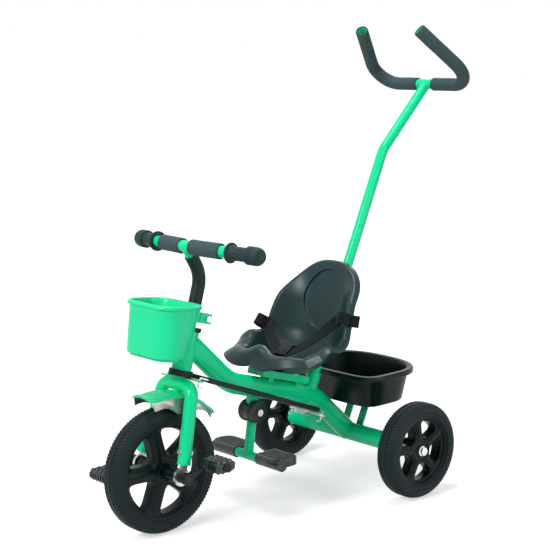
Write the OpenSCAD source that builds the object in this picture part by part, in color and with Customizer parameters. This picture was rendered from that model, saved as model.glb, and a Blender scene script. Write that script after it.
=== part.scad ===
// Toddler push-along trike: pedal front wheel, bucket seat, two baskets and a push bar that steers.
// Sizes are in millimetres. X points forward, Y to the rider's left, Z up.

/* [Wheels] */
// Distance from the rear axle to the front axle
wheelbase = 508; // [490:1:530]
// Diameter of the front wheel over its tyre
front_wheel_d = 250; // [240:1:262]
// Width of the front tyre
front_tyre_w = 46; // [40:1:50]
// Height of the front tyre above its rim
front_sidewall = 28; // [22:1:34]
// Diameter of a rear wheel over its tyre
rear_wheel_d = 200; // [186:1:210]
// Width of a rear tyre
rear_tyre_w = 48; // [40:1:54]
// Height of a rear tyre above its rim
rear_sidewall = 26; // [20:1:32]
// Distance between the middles of the rear wheels
rear_track = 409; // [380:1:440]
// Spokes in each rim
spoke_count = 5; // [4:1:6]
// Width of a spoke
spoke_w = 17; // [12:1:22]
// Diameter of a rim's hub
hub_d = 46; // [36:1:54]
// Thickness of a rim's outer ring
rim_wall = 7; // [5:0.5:10]
// Width of the spoked web of a rim
web_w = 26; // [18:1:32]

/* [Frame] */
// Wall of the steel tubes
tube_wall = 1.6; // [1.2:0.1:2.5]
// Width of the oval main beam
beam_w = 36; // [30:1:38]
// Depth of the oval main beam
beam_h = 43; // [40:1:50]
// Slope of the beam behind the push bar
beam_rear_slope = 43.7; // [40:0.1:47]
// Slope of the beam under the seat
beam_mid_slope = 17; // [12:0.5:20]
// Length of the beam from the rear axle to its first bend
beam_rear_run = 140.7; // [130:0.1:150]
// Length of the beam under the seat, from bend to bend
beam_mid_run = 240.7; // [225:0.1:260]
// Radius of the beam's bends
beam_bend_r = 95; // [70:1:110]
// Height left between the beam and the top of the head tube
beam_head_drop = 21; // [12:1:34]
// Outside diameter of the rear axle tube
axle_tube_d = 39; // [32:1:42]
// Diameter of the rear axle rod
axle_d = 10; // [8:1:12]
// Gap between a rear wheel and the parts beside it
wheel_gap = 2; // [1:0.5:4]

/* [Steering head] */
// Lean of the steering axis
head_tilt = 17; // [14:0.5:20]
// Outside diameter of the head tube
head_tube_d = 40; // [36:1:44]
// Length of the head tube
head_tube_h = 77.4; // [65:0.1:90]
// Outside diameter of the lower headset cup
cup_d = 48; // [44:1:52]
// Height of the lower headset cup
cup_h = 12; // [8:1:16]
// Outside diameter of the upper headset cup
top_cup_d = 46; // [42:1:48]
// Height of the upper headset cup
top_cup_h = 8.5; // [6:0.5:12]
// Outside diameter of the steerer tube
steerer_d = 26; // [25:0.5:28]
// Height of the locknut
locknut_h = 10.5; // [8:0.5:14]
// Outside diameter of the stem clamp
clamp_d = 36; // [33:1:40]
// Height of the stem clamp
clamp_h = 21; // [16:1:26]
// Reach of the clamp's ears behind the steering axis
clamp_reach = 42; // [36:1:50]

/* [Fork] */
// Diameter of a fork leg
leg_d = 26; // [22:1:28]
// Distance between the feet of the fork legs
leg_spread = 132; // [126:1:140]
// Distance between the corners of the fork crown
crown_w = 89; // [86:1:96]
// Radius of the fork's shoulder bends
crown_bend = 22; // [18:1:24]
// Height of the leg ends above the axle
leg_foot = 23; // [21:1:30]
// Diameter of a drop-out eye
eye_d = 35; // [30:1:38]
// Thickness of a drop-out
eye_t = 6; // [4:0.5:8]
// Diameter of the dark bush in a drop-out
bush_d = 19; // [16:1:22]
// Height of the cross bolts above the axle
cross_bolt_s = 47; // [40:1:60]

/* [Mudguard] */
// Gap between the front tyre and the mudguard
mudguard_gap = 28; // [24:1:36]
// Width of the mudguard
mudguard_w = 64; // [58:1:66]
// Arc covered by the mudguard
mudguard_arc = 64; // [50:1:80]
// Wall of the mudguard
mudguard_t = 2.5; // [2:0.5:3.5]
// Height of the ridges on the mudguard
mudguard_rib = 1.2; // [0.8:0.1:2]
// Depth of the silver skirts
skirt_h = 20; // [12:1:24]

/* [Bars] */
// Diameter of the stem
stem_d = 22; // [20:0.5:22.4]
// Height of the stem's bend above the clamp
stem_rise = 72; // [62:1:95]
// Lean of the stem above its bend
stem_lean = 46; // [30:1:55]
// Length of the stem past its bend
stem_reach = 68; // [62:1:90]
// Radius of the stem's bend
stem_bend = 60; // [40:1:80]
// Outside diameter of the stem's foam sleeve
sleeve_d = 27; // [25:0.5:32]
// Diameter of the handlebar
bar_d = 23; // [20:0.5:25]
// Backward sweep of each half of the handlebar
bar_sweep = 8.5; // [4:0.1:15]
// Forward dip of the handlebar's plane
bar_dip = 8; // [0:1:16]
// Length of each half of the handlebar
bar_half = 192; // [180:1:210]
// Outside diameter of the bar's foam sleeves
bar_foam_d = 31; // [28:0.5:35]
// Distance from the bar's middle to the foam
bar_foam_from = 14; // [12:1:20]
// Length of a foam sleeve on the bar
bar_foam_len = 78; // [60:1:84]
// Length of a grip
grip_len = 84; // [76:1:90]
// Diameter of a grip
grip_d = 28; // [26:1:31]
// Diameter of a grip's inner flange
flange_d = 40; // [34:1:46]
// Diameter of a grip's end knob
knob_d = 36; // [32:1:42]

/* [Pedals] */
// Length of a crank
crank_len = 55; // [48:1:62]
// Angle of the left crank above the rearward direction
crank_angle = 28; // [0:1:60]
// Diameter of the crank axle and of the pedal pins
crank_axle_d = 12; // [10:0.5:13]
// Width of a pedal
pedal_w = 54; // [46:1:64]
// Length of a pedal
pedal_len = 48; // [42:1:56]
// Thickness of a pedal
pedal_h = 24; // [20:1:28]

/* [Push bar] */
// Lean of the push bar
pusher_tilt = 24.9; // [20:0.1:28]
// Distance from the beam's first bend to the push bar
pusher_run = 15.7; // [8:0.1:24]
// Outside diameter of the push bar's socket
socket_d = 30; // [27:1:32]
// Height of the socket above the beam's middle line
socket_up = 50; // [40:1:54]
// Depth of the socket below the beam's middle line
socket_down = 32; // [30:1:36]
// Diameter of the push bar and its handle
push_d = 22; // [20:0.5:24]
// Length of the push bar from the beam to its bend
push_len = 554; // [500:1:620]
// Lean of the push bar above its bend
push_top_tilt = 45.4; // [35:0.1:55]
// Length of the push bar above its bend
push_top_len = 193.4; // [160:0.1:230]
// Radius of the push bar's bend
push_bend = 70; // [50:1:100]
// Tilt of the handle's plane
handle_tilt = 46.2; // [35:0.1:60]
// Half width of the handle
handle_half = 149.6; // [140:0.1:165]
// Reach of the handle's horns
horn_reach = 164; // [140:1:190]
// Inward lean of the horns
horn_in = 64; // [40:1:75]
// Radius of the handle's bends
handle_bend = 46; // [36:1:50]
// Outside diameter of the handle's foam
handle_foam_d = 28; // [26:0.5:34]
// Bare width left at the middle of the handle
handle_bare = 44; // [36:1:60]

/* [Steering link] */
// Half width of the steering arms
arm_half = 44; // [42:1:52]
// Offset of the arm holes behind the turning axes
arm_back = 14; // [14:1:20]
// Thickness of the arms
arm_t = 3; // [2.5:0.5:4]
// Diameter of the tie rod wire
wire_d = 4; // [3.5:0.5:5]
// Outside diameter of the tie rod sleeves
rod_sleeve_d = 11; // [9:1:12]
// Length of the hooked wire ends
hook_len = 18; // [18:1:22]
// Length of the tails on the hooks
hook_tail = 9; // [7:1:12]

/* [Footrest] */
// Distance of the footrest hinge along the beam
footrest_run = 176; // [166:1:186]
// Drop of the footrest hinge below the beam's middle line
footrest_drop = 52; // [50:1:60]
// Diameter of the hinge drum
drum_d = 45; // [42:1:50]
// Width of the hinge drum
drum_w = 40; // [34:1:46]
// Thickness of the hinge lug
lug_t = 10; // [8:1:12]
// Diameter of the hinge bolt
hinge_bolt_d = 8; // [6:1:9]
// Diameter of the footrest post
post_d = 20; // [18:1:22]
// Length of the footrest post from the hinge
post_len = 92; // [80:1:96]
// Lean of the post ahead of straight down
post_lean = 9; // [6:0.5:14]
// Angle through which the footrest folds
fold_angle = 60; // [45:1:60]
// Diameter of the footrest cross tube
cross_d = 19; // [16:1:20]
// Width of a foot pad
pad_w = 80; // [66:1:86]
// Length of a foot pad
pad_len = 52; // [44:1:58]
// Thickness of a foot pad
pad_h = 17; // [14:1:22]
// Bare half width of the cross tube
cross_bare = 34; // [30:1:42]

/* [Seat] */
// Height of the seat channel above the beam
channel_h = 17; // [14:1:20]
// Width of the seat channel
channel_w = 50; // [44:1:56]
// Distance from the beam's bend to the channel's rear end
channel_from = 44; // [42:1:60]
// Length of the seat channel
channel_len = 130; // [110:1:136]
// Wall of the seat shell
seat_t = 4; // [3:0.5:5]
// Distance from the beam's bend to the seat's front edge
seat_front = 169; // [163:1:175]
// Height of the seat's front lip above its pan
front_rise = 18; // [12:1:24]
// Length of the seat pan
pan_len = 63; // [57:1:69]
// Radius between pan and backrest
seat_bend = 90; // [86:1:98]
// Length of the backrest
back_len = 144; // [135:1:158]
// Lean of the backrest against the beam
back_lean = -3.5; // [-5:0.5:0]
// Half width of the seat
seat_half = 110; // [106:1:118]
// Height of the seat's side walls
wall_h = 78; // [70:1:84]
// Height of the hump at the seat's front edge
hump_h = 27; // [20:1:34]
// Radius of the seat's rolled lip
lip_r = 9; // [7:0.5:11]
// Depth of the skirt below the seat's lip
lip_drop = 8; // [5:1:12]
// Extra radius of the lip where it rolls over the seat's front
front_roll = 14; // [8:1:18]
// Half height of the oval panel pressed into the backrest
panel_high = 66; // [58:1:72]
// Half width of the oval panel
panel_wide = 60; // [52:1:66]
// Depth of the oval panel
panel_deep = 4.5; // [3:0.5:6]
// Distance along the seat from its front edge to the middle of the oval panel
panel_at = 277; // [270:1:284]
// Width of the belt straps
strap_w = 25; // [20:1:30]
// Thickness of the belt straps
strap_t = 2; // [1.5:0.5:3]

/* [Baskets] */
// Height of the front basket
front_basket_h = 104; // [90:1:115]
// Width of the front basket at its rim
front_basket_w = 144; // [132:1:154]
// Depth of the front basket at its rim
front_basket_d = 96; // [84:1:106]
// Depth of the front basket at its floor
front_floor_d = 68; // [60:1:78]
// Width of the front basket at its floor
front_floor_w = 140; // [124:1:148]
// Forward step of the front basket's floor from its back wall
front_floor_in = 12; // [6:1:18]
// Slope of the front basket's rim against the steering head
front_rim_slope = 10.5; // [6:0.5:14]
// Wall of the baskets
basket_t = 3; // [2:0.5:4]
// Height of the rear basket
rear_basket_h = 72; // [60:1:84]
// Width of the rear basket below its lip
rear_basket_w = 244; // [220:1:260]
// Depth of the rear basket below its lip
rear_basket_d = 168; // [150:1:185]
// Inward draft of the rear basket's wall
rear_draft = 12; // [8:1:18]
// Overhang of the rear basket's lip
rear_lip = 11; // [7:1:13]
// Height of the rear basket's floor above the rear axle
rear_floor_up = 76; // [70:1:84]
// Half distance between the basket struts
strut_half = 22; // [16:1:40]

/* [Hidden] */
$fn = 96;
paint = [0.05, 0.80, 0.50];
black = [0.10, 0.11, 0.12];
dark = [0.20, 0.22, 0.23];
zinc = [0.75, 0.76, 0.78];
silver = [0.86, 0.88, 0.88];
// Running gap round a turning shaft
fit = 0.05;
// Gap between a tyre and its rim
tyre_fit = 0.1;
// Side gap between parts that turn past each other
play = 0.3;
// Overshoot of cutting tools
cut = 1;
// Overlap of straight runs into bends, and the extra radius of the bends that hides it
lap = 0.3;
skin = 0.05;
beam_skin = 0.2;
front_r = front_wheel_d / 2;
rear_r = rear_wheel_d / 2;
front_rim_r = front_r - front_sidewall;
rear_rim_r = rear_r - rear_sidewall;
hub_r = hub_d / 2;
wheel_y = rear_track / 2;
head_r = head_tube_d / 2;
steerer_r = steerer_d / 2;
leg_r = leg_d / 2;
axle_r = axle_d / 2;
// Stations along the steering axis, counted up from the front axle
crown_gap = 0.8;
guard_r = front_r + mudguard_gap;
crown_s = guard_r + mudguard_t + mudguard_rib + crown_gap + leg_r;
arm_s = crown_s + leg_r;
cup_s = arm_s + arm_t + play;
head_s = cup_s + cup_h;
top_cup_s = head_s + head_tube_h;
nut_s = top_cup_s + top_cup_h + play;
clamp_s = nut_s + locknut_h;
sleeve_s = clamp_s + clamp_h;
beam_s = top_cup_s - beam_head_drop;
// Beam corners seen from the side
function dir(a) = [cos(a), sin(a)];
function mix(a, b, k) = a + (b - a) * k;
function steer_pt(x, s) = [wheelbase, front_r] + x * dir(head_tilt) + s * dir(head_tilt + 90);
mid_dir = dir(beam_mid_slope);
beam_a = [0, rear_r];
beam_b = beam_a + beam_rear_run * dir(beam_rear_slope);
beam_d = steer_pt(0, beam_s);
beam_c = beam_b + beam_mid_run * mid_dir;
beam_path = [beam_a, beam_b, beam_c, beam_d];
// Push bar corners seen from the side
push_r = push_d / 2;
push_a = beam_b + pusher_run * mid_dir;
function push_pt(x, t) = push_a + x * dir(pusher_tilt) + t * dir(pusher_tilt + 90);
push_b = push_pt(0, push_len);
push_c = push_b + push_top_len * dir(push_top_tilt + 90);
handle_foam_r = handle_foam_d / 2;
horn_len = norm([horn_reach, horn_in]);
mid_x = (wheelbase + front_r + push_c.x - handle_foam_r) / 2;
// Tie rod corners seen from the side
wire_r = wire_d / 2;
lever_t = -socket_down - play;
rod_lift = wire_r + 3;
rod_front_top = steer_pt(-arm_back, arm_s + arm_t + rod_lift);
rod_front_low = steer_pt(-arm_back, arm_s + arm_t + rod_lift - hook_len);
rod_rear_pin = push_pt(-arm_back, lever_t - arm_t / 2);
rod_rear_dir = dir((head_tilt + pusher_tilt) / 2 + 90);
rod_rear_top = rod_rear_pin + (arm_t / 2 + rod_lift + 3) * rod_rear_dir;
rod_rear_low = rod_rear_top - (hook_len + 4) * rod_rear_dir;
rod_run = (rod_rear_top - rod_front_top) / norm(rod_rear_top - rod_front_top);
rod_path = [rod_front_low + hook_tail * rod_run, rod_front_low, rod_front_top, rod_rear_top,
    rod_rear_low, rod_rear_low - hook_tail * rod_run];

// Parts

// Frames of the assembly

module on_ground() {
    translate([-mid_x, 0, 0]) children();
}

module at_side(p) {
    translate([p.x, 0, p.y]) children();
}

module on_steer() {
    on_ground() translate([wheelbase, 0, front_r]) rotate([0, -head_tilt, 0]) children();
}

module on_pusher() {
    on_ground() at_side(push_a) rotate([0, -pusher_tilt, 0]) children();
}

module on_mid() {
    on_ground() at_side(beam_b) rotate([0, -beam_mid_slope, 0]) children();
}

module on_handle() {
    on_ground() at_side(push_c) rotate([0, -handle_tilt, 0]) children();
}

module on_front_axle() {
    on_ground() translate([wheelbase, 0, front_r]) children();
}

// Lays a drawing made in the flat plane upright, seen from the right side
module in_side_plane() {
    rotate([90, 0, 0]) children();
}

// Lays a drawing made in the flat plane upright, seen from behind
module in_cross_plane() {
    rotate([90, 0, 90]) children();
}

// Rod lying across the trike, centred on y = 0
module cross_rod(r, w) {
    rotate([90, 0, 0]) cylinder(r = r, h = w, center = true);
}

// Rod lying across the trike between two sideways stations
module side_rod(r, y0, y1) {
    translate([0, y1, 0]) rotate([90, 0, 0]) cylinder(r = r, h = y1 - y0);
}

// Profiles and sweeps

module oval(h, w) {
    for (i = [-1, 1]) translate([i * (h - w) / 2, 0]) circle(d = w);
    square([h - w, w], center = true);
}

function heading(p, i) = atan2(p[i + 1].y - p[i].y, p[i + 1].x - p[i].x);
function wrap(a) = a > 180 ? a - 360 : a <= -180 ? a + 360 : a;
function turn(p, i) = (i <= 0 || i >= len(p) - 1) ? 0 : wrap(heading(p, i) - heading(p, i - 1));
function trim(p, i, bend) = bend * tan(abs(turn(p, i)) / 2);

// Sweeps the first child along the straight runs of a flat path and the second, a hair larger, round its bends
module swept(p, bend) {
    n = len(p) - 2;
    for (i = [0 : n]) {
        a = heading(p, i);
        from = i > 0 ? trim(p, i, bend) - lap : 0;
        to = i < n ? trim(p, i + 1, bend) - lap : 0;
        run = norm(p[i + 1] - p[i]) - from - to;
        translate(p[i] + from * dir(a)) rotate([90, 0, a + 90]) linear_extrude(run) children(0);
    }
    if (n > 0) for (i = [1 : n]) {
        t = turn(p, i);
        a = heading(p, i - 1);
        side = t > 0 ? 90 : -90;
        start = p[i] - trim(p, i, bend) * dir(a);
        translate(start + bend * dir(a + side))
            rotate(t > 0 ? a - 90 : a + 90 + t)
                rotate_extrude(angle = abs(t)) translate([bend, 0]) children(1);
    }
}

module bent_bar(p, bend, r) {
    swept(p, bend) {
        circle(r = r);
        circle(r = r + skin);
    }
}

// Path made longer at both ends so that a bore runs out
function longer(p, d) = let (n = len(p) - 1) [for (i = [0 : n])
    i == 0 ? p[0] - d * dir(heading(p, 0)) : i == n ? p[n] + d * dir(heading(p, n - 1)) : p[i]];

module bent_tube(p, bend, r, wall) {
    difference() {
        bent_bar(p, bend, r);
        bent_bar(longer(p, cut), bend, r - wall);
    }
}

// Closed solid through rings of points, capped at its first and last ring
module ring_solid(rings) {
    m = len(rings[0]);
    n = len(rings);
    pts = [for (r = rings) each r];
    sides = [for (k = [0 : n - 2], j = [0 : m - 1]) each
        [[k * m + j, (k + 1) * m + j, (k + 1) * m + (j + 1) % m],
         [k * m + j, (k + 1) * m + (j + 1) % m, k * m + (j + 1) % m]]];
    low = [[for (j = [0 : m - 1]) j]];
    high = [[for (j = [m - 1 : -1 : 0]) (n - 1) * m + j]];
    polyhedron(points = pts, faces = concat(sides, low, high), convexity = 10);
}

// Frame pieces

module beam_sweep(shrink) {
    h = beam_h - 2 * shrink;
    w = beam_w - 2 * shrink;
    in_side_plane() swept(beam_path, beam_bend_r) {
        oval(h, w);
        oval(h + 2 * beam_skin, w + 2 * beam_skin);
    }
}

module main_beam() color(paint) {
    difference() {
        on_ground() beam_sweep(0);
        on_ground() beam_sweep(tube_wall);
        on_steer() translate([0, 0, head_s - cut]) cylinder(r = head_r, h = head_tube_h + 2 * cut);
        on_ground() at_side(beam_a) cross_rod(axle_tube_d / 2, beam_w * 2);
        on_pusher() cylinder(d = socket_d, h = 4 * beam_h, center = true);
    }
}

module head_tube() color(paint) on_steer() {
    translate([0, 0, head_s]) difference() {
        cylinder(r = head_r, h = head_tube_h);
        translate([0, 0, -cut]) cylinder(r = head_r - 2 * tube_wall, h = head_tube_h + 2 * cut);
    }
}

plug_t = 4;
tube_half = wheel_y - rear_tyre_w / 2 - wheel_gap - plug_t;

module rear_axle_tube() color(paint) on_ground() at_side(beam_a) difference() {
    cross_rod(axle_tube_d / 2, 2 * tube_half);
    cross_rod(axle_tube_d / 2 - tube_wall, 2 * tube_half + 2 * cut);
}

module pusher_socket() color(paint) on_pusher() difference() {
    translate([0, 0, -socket_down]) cylinder(d = socket_d, h = socket_up + socket_down);
    translate([0, 0, -socket_down - cut]) cylinder(r = push_r + fit, h = socket_up + socket_down + 2 * cut);
}

seat_plane = beam_h / 2 + channel_h;
channel_wall = 3;
bolt_r = 3;
seat_bolt_in = 52;
seat_bolt_u = seat_front - seat_bolt_in;
seat_bolt_y = 14;

saddle_len = 12;
saddle_side = 4;
saddle_rear = 14;
saddle_front = 40;
saddle_u = [channel_from + saddle_rear, channel_from + channel_len - saddle_front];

module seat_channel() color(paint) difference() {
    on_mid() {
        translate([channel_from, -channel_w / 2, seat_plane - channel_h + channel_wall])
            difference() {
                cube([channel_len, channel_w, channel_h - channel_wall]);
                translate([-cut, channel_wall, -cut])
                    cube([
                        channel_len - channel_wall + cut,
                        channel_w - 2 * channel_wall,
                        channel_h - 2 * channel_wall + cut]);
            }
        for (u = saddle_u) translate([u, -beam_w / 2 + saddle_side, 0])
            cube([saddle_len, beam_w - 2 * saddle_side, seat_plane - channel_wall / 2]);
    }
    on_ground() beam_sweep(0);
    on_mid() for (y = [-seat_bolt_y, seat_bolt_y]) translate([seat_bolt_u, y, seat_plane - channel_h])
        cylinder(r = bolt_r, h = 2 * channel_h);
}

foot_u = footrest_run * mid_dir;
foot_pivot = beam_b + foot_u - [0, footrest_drop];
lug_r = 15;
lug_shoulder = 3;
neck_half = lug_r - lug_shoulder;

module on_foot() {
    on_ground() at_side(foot_pivot) children();
}

module footrest_lug() color(paint) difference() {
    on_foot() difference() {
        union() {
            cross_rod(lug_r, lug_t);
            translate([-neck_half, -lug_t / 2, 0]) cube([2 * neck_half, lug_t, footrest_drop]);
        }
        cross_rod(hinge_bolt_d / 2, lug_t + 2 * cut);
    }
    on_ground() beam_sweep(0);
}

strut_w = 18;
strut_t = 4;
strut_lean = 25;
strut_sink = 6;
strut_side = 150;
strut_foot = beam_a + (axle_tube_d / 2 - strut_sink) * dir(strut_side);
strut_flange = 30;
strut_ahead = 4;
strut_bolt_in = 16;
floor_z = rear_r + rear_floor_up;
strut_up = (floor_z - strut_t / 2 - strut_foot.y) / cos(strut_lean);
strut_top_x = strut_foot.x - strut_up * sin(strut_lean);
strut_bolt_x = strut_top_x - strut_bolt_in;

module basket_struts() color(paint) on_ground() difference() {
    for (i = [-1, 1]) translate([0, i * strut_half, 0]) {
        at_side(strut_foot) rotate([0, -strut_lean, 0])
            translate([-strut_t / 2, -strut_w / 2, 0]) cube([strut_t, strut_w, strut_up]);
        translate([strut_top_x + strut_ahead - strut_flange, -strut_w / 2, floor_z - strut_t])
            cube([strut_flange, strut_w, strut_t]);
    }
    at_side(beam_a) cross_rod(axle_tube_d / 2, 4 * strut_half + 4 * strut_w);
    for (i = [-1, 1]) translate([strut_bolt_x, i * strut_half, floor_z - 2 * strut_t])
        cylinder(r = bolt_r, h = 4 * strut_t);
}

spigot_h = 10;

module lower_cup() color(black) on_steer() translate([0, 0, cup_s]) difference() {
    union() {
        cylinder(d = cup_d, h = cup_h);
        cylinder(r = head_r - 2 * tube_wall, h = cup_h + spigot_h);
    }
    translate([0, 0, -cut]) cylinder(r = steerer_r + fit, h = cup_h + spigot_h + 2 * cut);
}

module upper_cup() color(black) on_steer() translate([0, 0, top_cup_s]) difference() {
    union() {
        cylinder(d = top_cup_d, h = top_cup_h);
        translate([0, 0, -spigot_h]) cylinder(r = head_r - 2 * tube_wall, h = spigot_h + cut);
    }
    translate([0, 0, -spigot_h - cut]) cylinder(r = steerer_r + fit, h = top_cup_h + spigot_h + 2 * cut);
}

plug_in = 14;

module axle_plugs() color(black) on_ground() at_side(beam_a) for (i = [0, 1]) mirror([0, i, 0]) difference() {
    union() {
        side_rod(axle_tube_d / 2, tube_half, tube_half + plug_t);
        side_rod(axle_tube_d / 2 - tube_wall, tube_half - plug_in, tube_half + plug_t);
    }
    side_rod(axle_r, tube_half - plug_in - cut, tube_half + plug_t + cut);
}

hub_w = web_w + 3;
hub_out = wheel_y + hub_w / 2;
nut_h = 9;
nut_r = 9;
nut_washer_r = 10.5;
nut_washer_t = 3;
nut_end = 2;

module rear_axle() color(zinc) on_ground() at_side(beam_a)
    cross_rod(axle_r, 2 * (hub_out + play + nut_h - nut_end));

module axle_nuts() color(silver) on_ground() at_side(beam_a) for (i = [0, 1]) mirror([0, i, 0]) difference() {
    union() {
        side_rod(nut_washer_r, hub_out + play, hub_out + play + nut_washer_t);
        translate([0, hub_out + play + nut_h, 0]) rotate([90, 0, 0])
            cylinder(r = nut_r, h = nut_h - nut_end, $fn = 6);
    }
    side_rod(axle_r, hub_out, hub_out + play + nut_h - nut_end);
}

bolt_head_r = 6;
bolt_head_h = 4;

module frame_bolts() color(zinc) {
    on_mid() for (y = [-seat_bolt_y, seat_bolt_y])
        translate([seat_bolt_u, y, seat_plane - channel_wall - bolt_head_h]) {
        cylinder(r = bolt_head_r, h = bolt_head_h);
        cylinder(r = bolt_r, h = bolt_head_h + channel_wall + seat_t + play + bolt_head_h);
        translate([0, 0, bolt_head_h + channel_wall + seat_t + play]) cylinder(r = bolt_head_r, h = bolt_head_h);
    }
    on_ground() for (i = [-1, 1]) translate([strut_bolt_x, i * strut_half, floor_z]) {
        translate([0, 0, basket_t]) cylinder(r = bolt_head_r, h = bolt_head_h);
        translate([0, 0, -strut_t]) cylinder(r = bolt_r, h = strut_t + basket_t + bolt_head_h);
    }
}

hinge_head = 5;

module footrest_bolt() color(zinc) on_foot() {
    cross_rod(hinge_bolt_d / 2, drum_w + 2 * play);
    for (i = [0, 1]) mirror([0, i, 0])
        side_rod(hinge_bolt_d / 2 + 3, drum_w / 2 + play, drum_w / 2 + play + hinge_head);
}

// Seat

pan_head = 180;
seat_arc = 90 - back_lean;
back_head = pan_head - seat_arc;
arc_len = seat_bend * seat_arc * PI / 180;
seat_len = pan_len + arc_len + back_len;
seat_a = [seat_front, seat_plane + seat_t];
seat_b = seat_a + pan_len * dir(pan_head);
seat_c = seat_b + seat_bend * dir(pan_head - 90);
function seat_head(a) = a < pan_len ? pan_head : a > pan_len + arc_len ? back_head
    : pan_head - (a - pan_len) / seat_bend * 180 / PI;
function seat_mid(a) = a < pan_len ? seat_a + a * dir(pan_head)
    : seat_c - seat_bend * dir(seat_head(a) - 90) + max(0, a - pan_len - arc_len) * dir(back_head);
pan_flat = 0.2;
function ramp(x) = let (t = min(1, max(0, x))) t * t * (3 - 2 * t);
function power(c, n) = sign(c) * pow(abs(c), 2 / n);
// Lengths along the seat over which its walls rise, sink toward the backrest and fade at the top
wall_rise_len = 110;
wall_sink_from = 60;
wall_sink_len = 150;
wall_fade_from = 270;
// Length over which the front lip sinks to the pan, half width of its hump, and length of its taper
front_fade = 40;
hump_half = 38;
taper_len = 104;
// Lengths from which and over which the larger roll of the pan fades into the backrest's lip
roll_from = 40;
roll_fade = 180;
// Shares of the wall's height at the front edge, gained along the pan, lost at the bend and lost at the top
wall_start = 0.72;
wall_gain = 0.2;
wall_sink = 0.35;
wall_fade = 0.43;
function wall_at(a) = wall_h * (wall_start
    + wall_gain * ramp(a / wall_rise_len)
    - wall_sink * ramp((a - wall_sink_from) / wall_sink_len)
    - wall_fade * ramp((a - wall_fade_from) / (seat_len - wall_fade_from)));
function front_at(a, b) = (front_rise + hump_h * exp(-pow(b / hump_half, 2))) * (1 - ramp(a / front_fade));
function half_at(a) = seat_half * (0.93 + 0.07 * ramp(a / taper_len));
function lip_at(th) = lip_r + front_roll * (1 - ramp((rim_a(th) - roll_from) / roll_fade));

// Point of the seat's upper face, by length from the front edge and share of the half width
function seat_top(p) = let (
    b = half_at(p[0]) * p[1],
    side = max(0, abs(p[1]) - pan_flat) / (1 - pan_flat),
    rise = wall_at(p[0]) * pow(side, 2.1) + front_at(p[0], b),
    q = seat_mid(p[0]) + rise * dir(seat_head(p[0]) - 90)
) [q.x, b, q.y];

// Rim of the seat by the angle round it, and points on the ray from the oval panel's middle to the rim
function rim_power(th) = cos(th) > 0 ? 2.5 : 2.8;
function rim_v(th) = power(sin(th), rim_power(th));
function rim_a(th) = seat_len / 2 * (1 + power(cos(th), rim_power(th)));
function ray(k, th) = [mix(panel_at, rim_a(th), k), k * rim_v(th)];
function panel_k(th) = 1 / norm([
    (rim_a(th) - panel_at) / panel_high,
    rim_v(th) * half_at(panel_at) / panel_wide]);

function unit(v) = v / norm(v);
function seat_up(p) = unit(cross(
    seat_top(p + [0, 0.01]) - seat_top(p - [0, 0.01]),
    seat_top(p + [1, 0]) - seat_top(p - [1, 0])));
function rim_side(th) = unit(seat_top(ray(1, th + 1.5)) - seat_top(ray(1, th - 1.5)));
function lip_out(th) = unit(cross(seat_up(ray(1, th)), rim_side(th)));
function lip_pt(th, out, f, drop) = seat_top(ray(1, th)) - (lip_at(th) + drop) * seat_up(ray(1, th))
    + (lip_at(th) + out) * (sin(f) * lip_out(th) + cos(f) * seat_up(ray(1, th)));

// Rings inside the oval panel, by share of its reach and depth, and rings from the panel out to the lip
panel_rings = [[0.06, 1], [0.5, 1], [0.92, 1], [1.02, 0.12], [1.06, 0]];
outer_rings = [0.1, 0.24, 0.38, 0.5, 0.6, 0.69, 0.77, 0.84, 0.9, 0.95];
function seat_spot(k, th) = k < len(panel_rings) ? ray(panel_rings[k][0] * panel_k(th), th)
    : ray(mix(panel_rings[4][0] * panel_k(th), 1, outer_rings[k - len(panel_rings)]), th);
function sunk(k) = k < len(panel_rings) ? panel_deep * panel_rings[k][1] : 0;
function seat_face(k, th, t) = seat_top(seat_spot(k, th)) - (t + sunk(k)) * seat_up(seat_spot(k, th));
last_ring = len(panel_rings) + len(outer_rings) - 1;
lip_steps = [[0, 0], [30, 0], [60, 0], [90, 0], [90, 0.5], [90, 1]];
half_turns = concat(
    [for (th = [6 : 6 : 72]) th],
    [for (th = [76 : 2 : 108]) th],
    [for (th = [113 : 6 : 176]) th]);
seat_turns = concat([0], half_turns, [180], [for (k = [len(half_turns) - 1 : -1 : 0]) 360 - half_turns[k]]);
function lip_ring(out, k) = [for (th = seat_turns)
    lip_pt(th, out, lip_steps[k][0], lip_steps[k][1] * lip_drop)];

module seat_shell() color(black) on_mid() difference() {
    ring_solid(concat(
        [for (k = [0 : last_ring]) [for (th = seat_turns) seat_face(k, th, 0)]],
        [for (k = [0 : len(lip_steps) - 1]) lip_ring(0, k)],
        [for (k = [len(lip_steps) - 1 : -1 : 0]) lip_ring(-seat_t, k)],
        [for (k = [last_ring : -1 : 0]) [for (th = seat_turns) seat_face(k, th, seat_t)]]));
    for (y = [-seat_bolt_y, seat_bolt_y]) translate([seat_bolt_u, y, seat_plane - cut])
        cylinder(r = bolt_r, h = seat_t + 2 * cut);
}

// Flat strip through points, each with the direction its width lies in
module strip(pts, sides, w, t) {
    n = len(pts) - 1;
    ring_solid([for (i = [0 : n]) let (
        along = unit(pts[min(n, i + 1)] - pts[max(0, i - 1)]),
        side = unit(sides[i] - (sides[i] * along) * along) * w / 2,
        up = unit(cross(side, along)) * t / 2
    ) [pts[i] - side + up, pts[i] + side + up, pts[i] + side - up, pts[i] - side - up]]);
}

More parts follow.
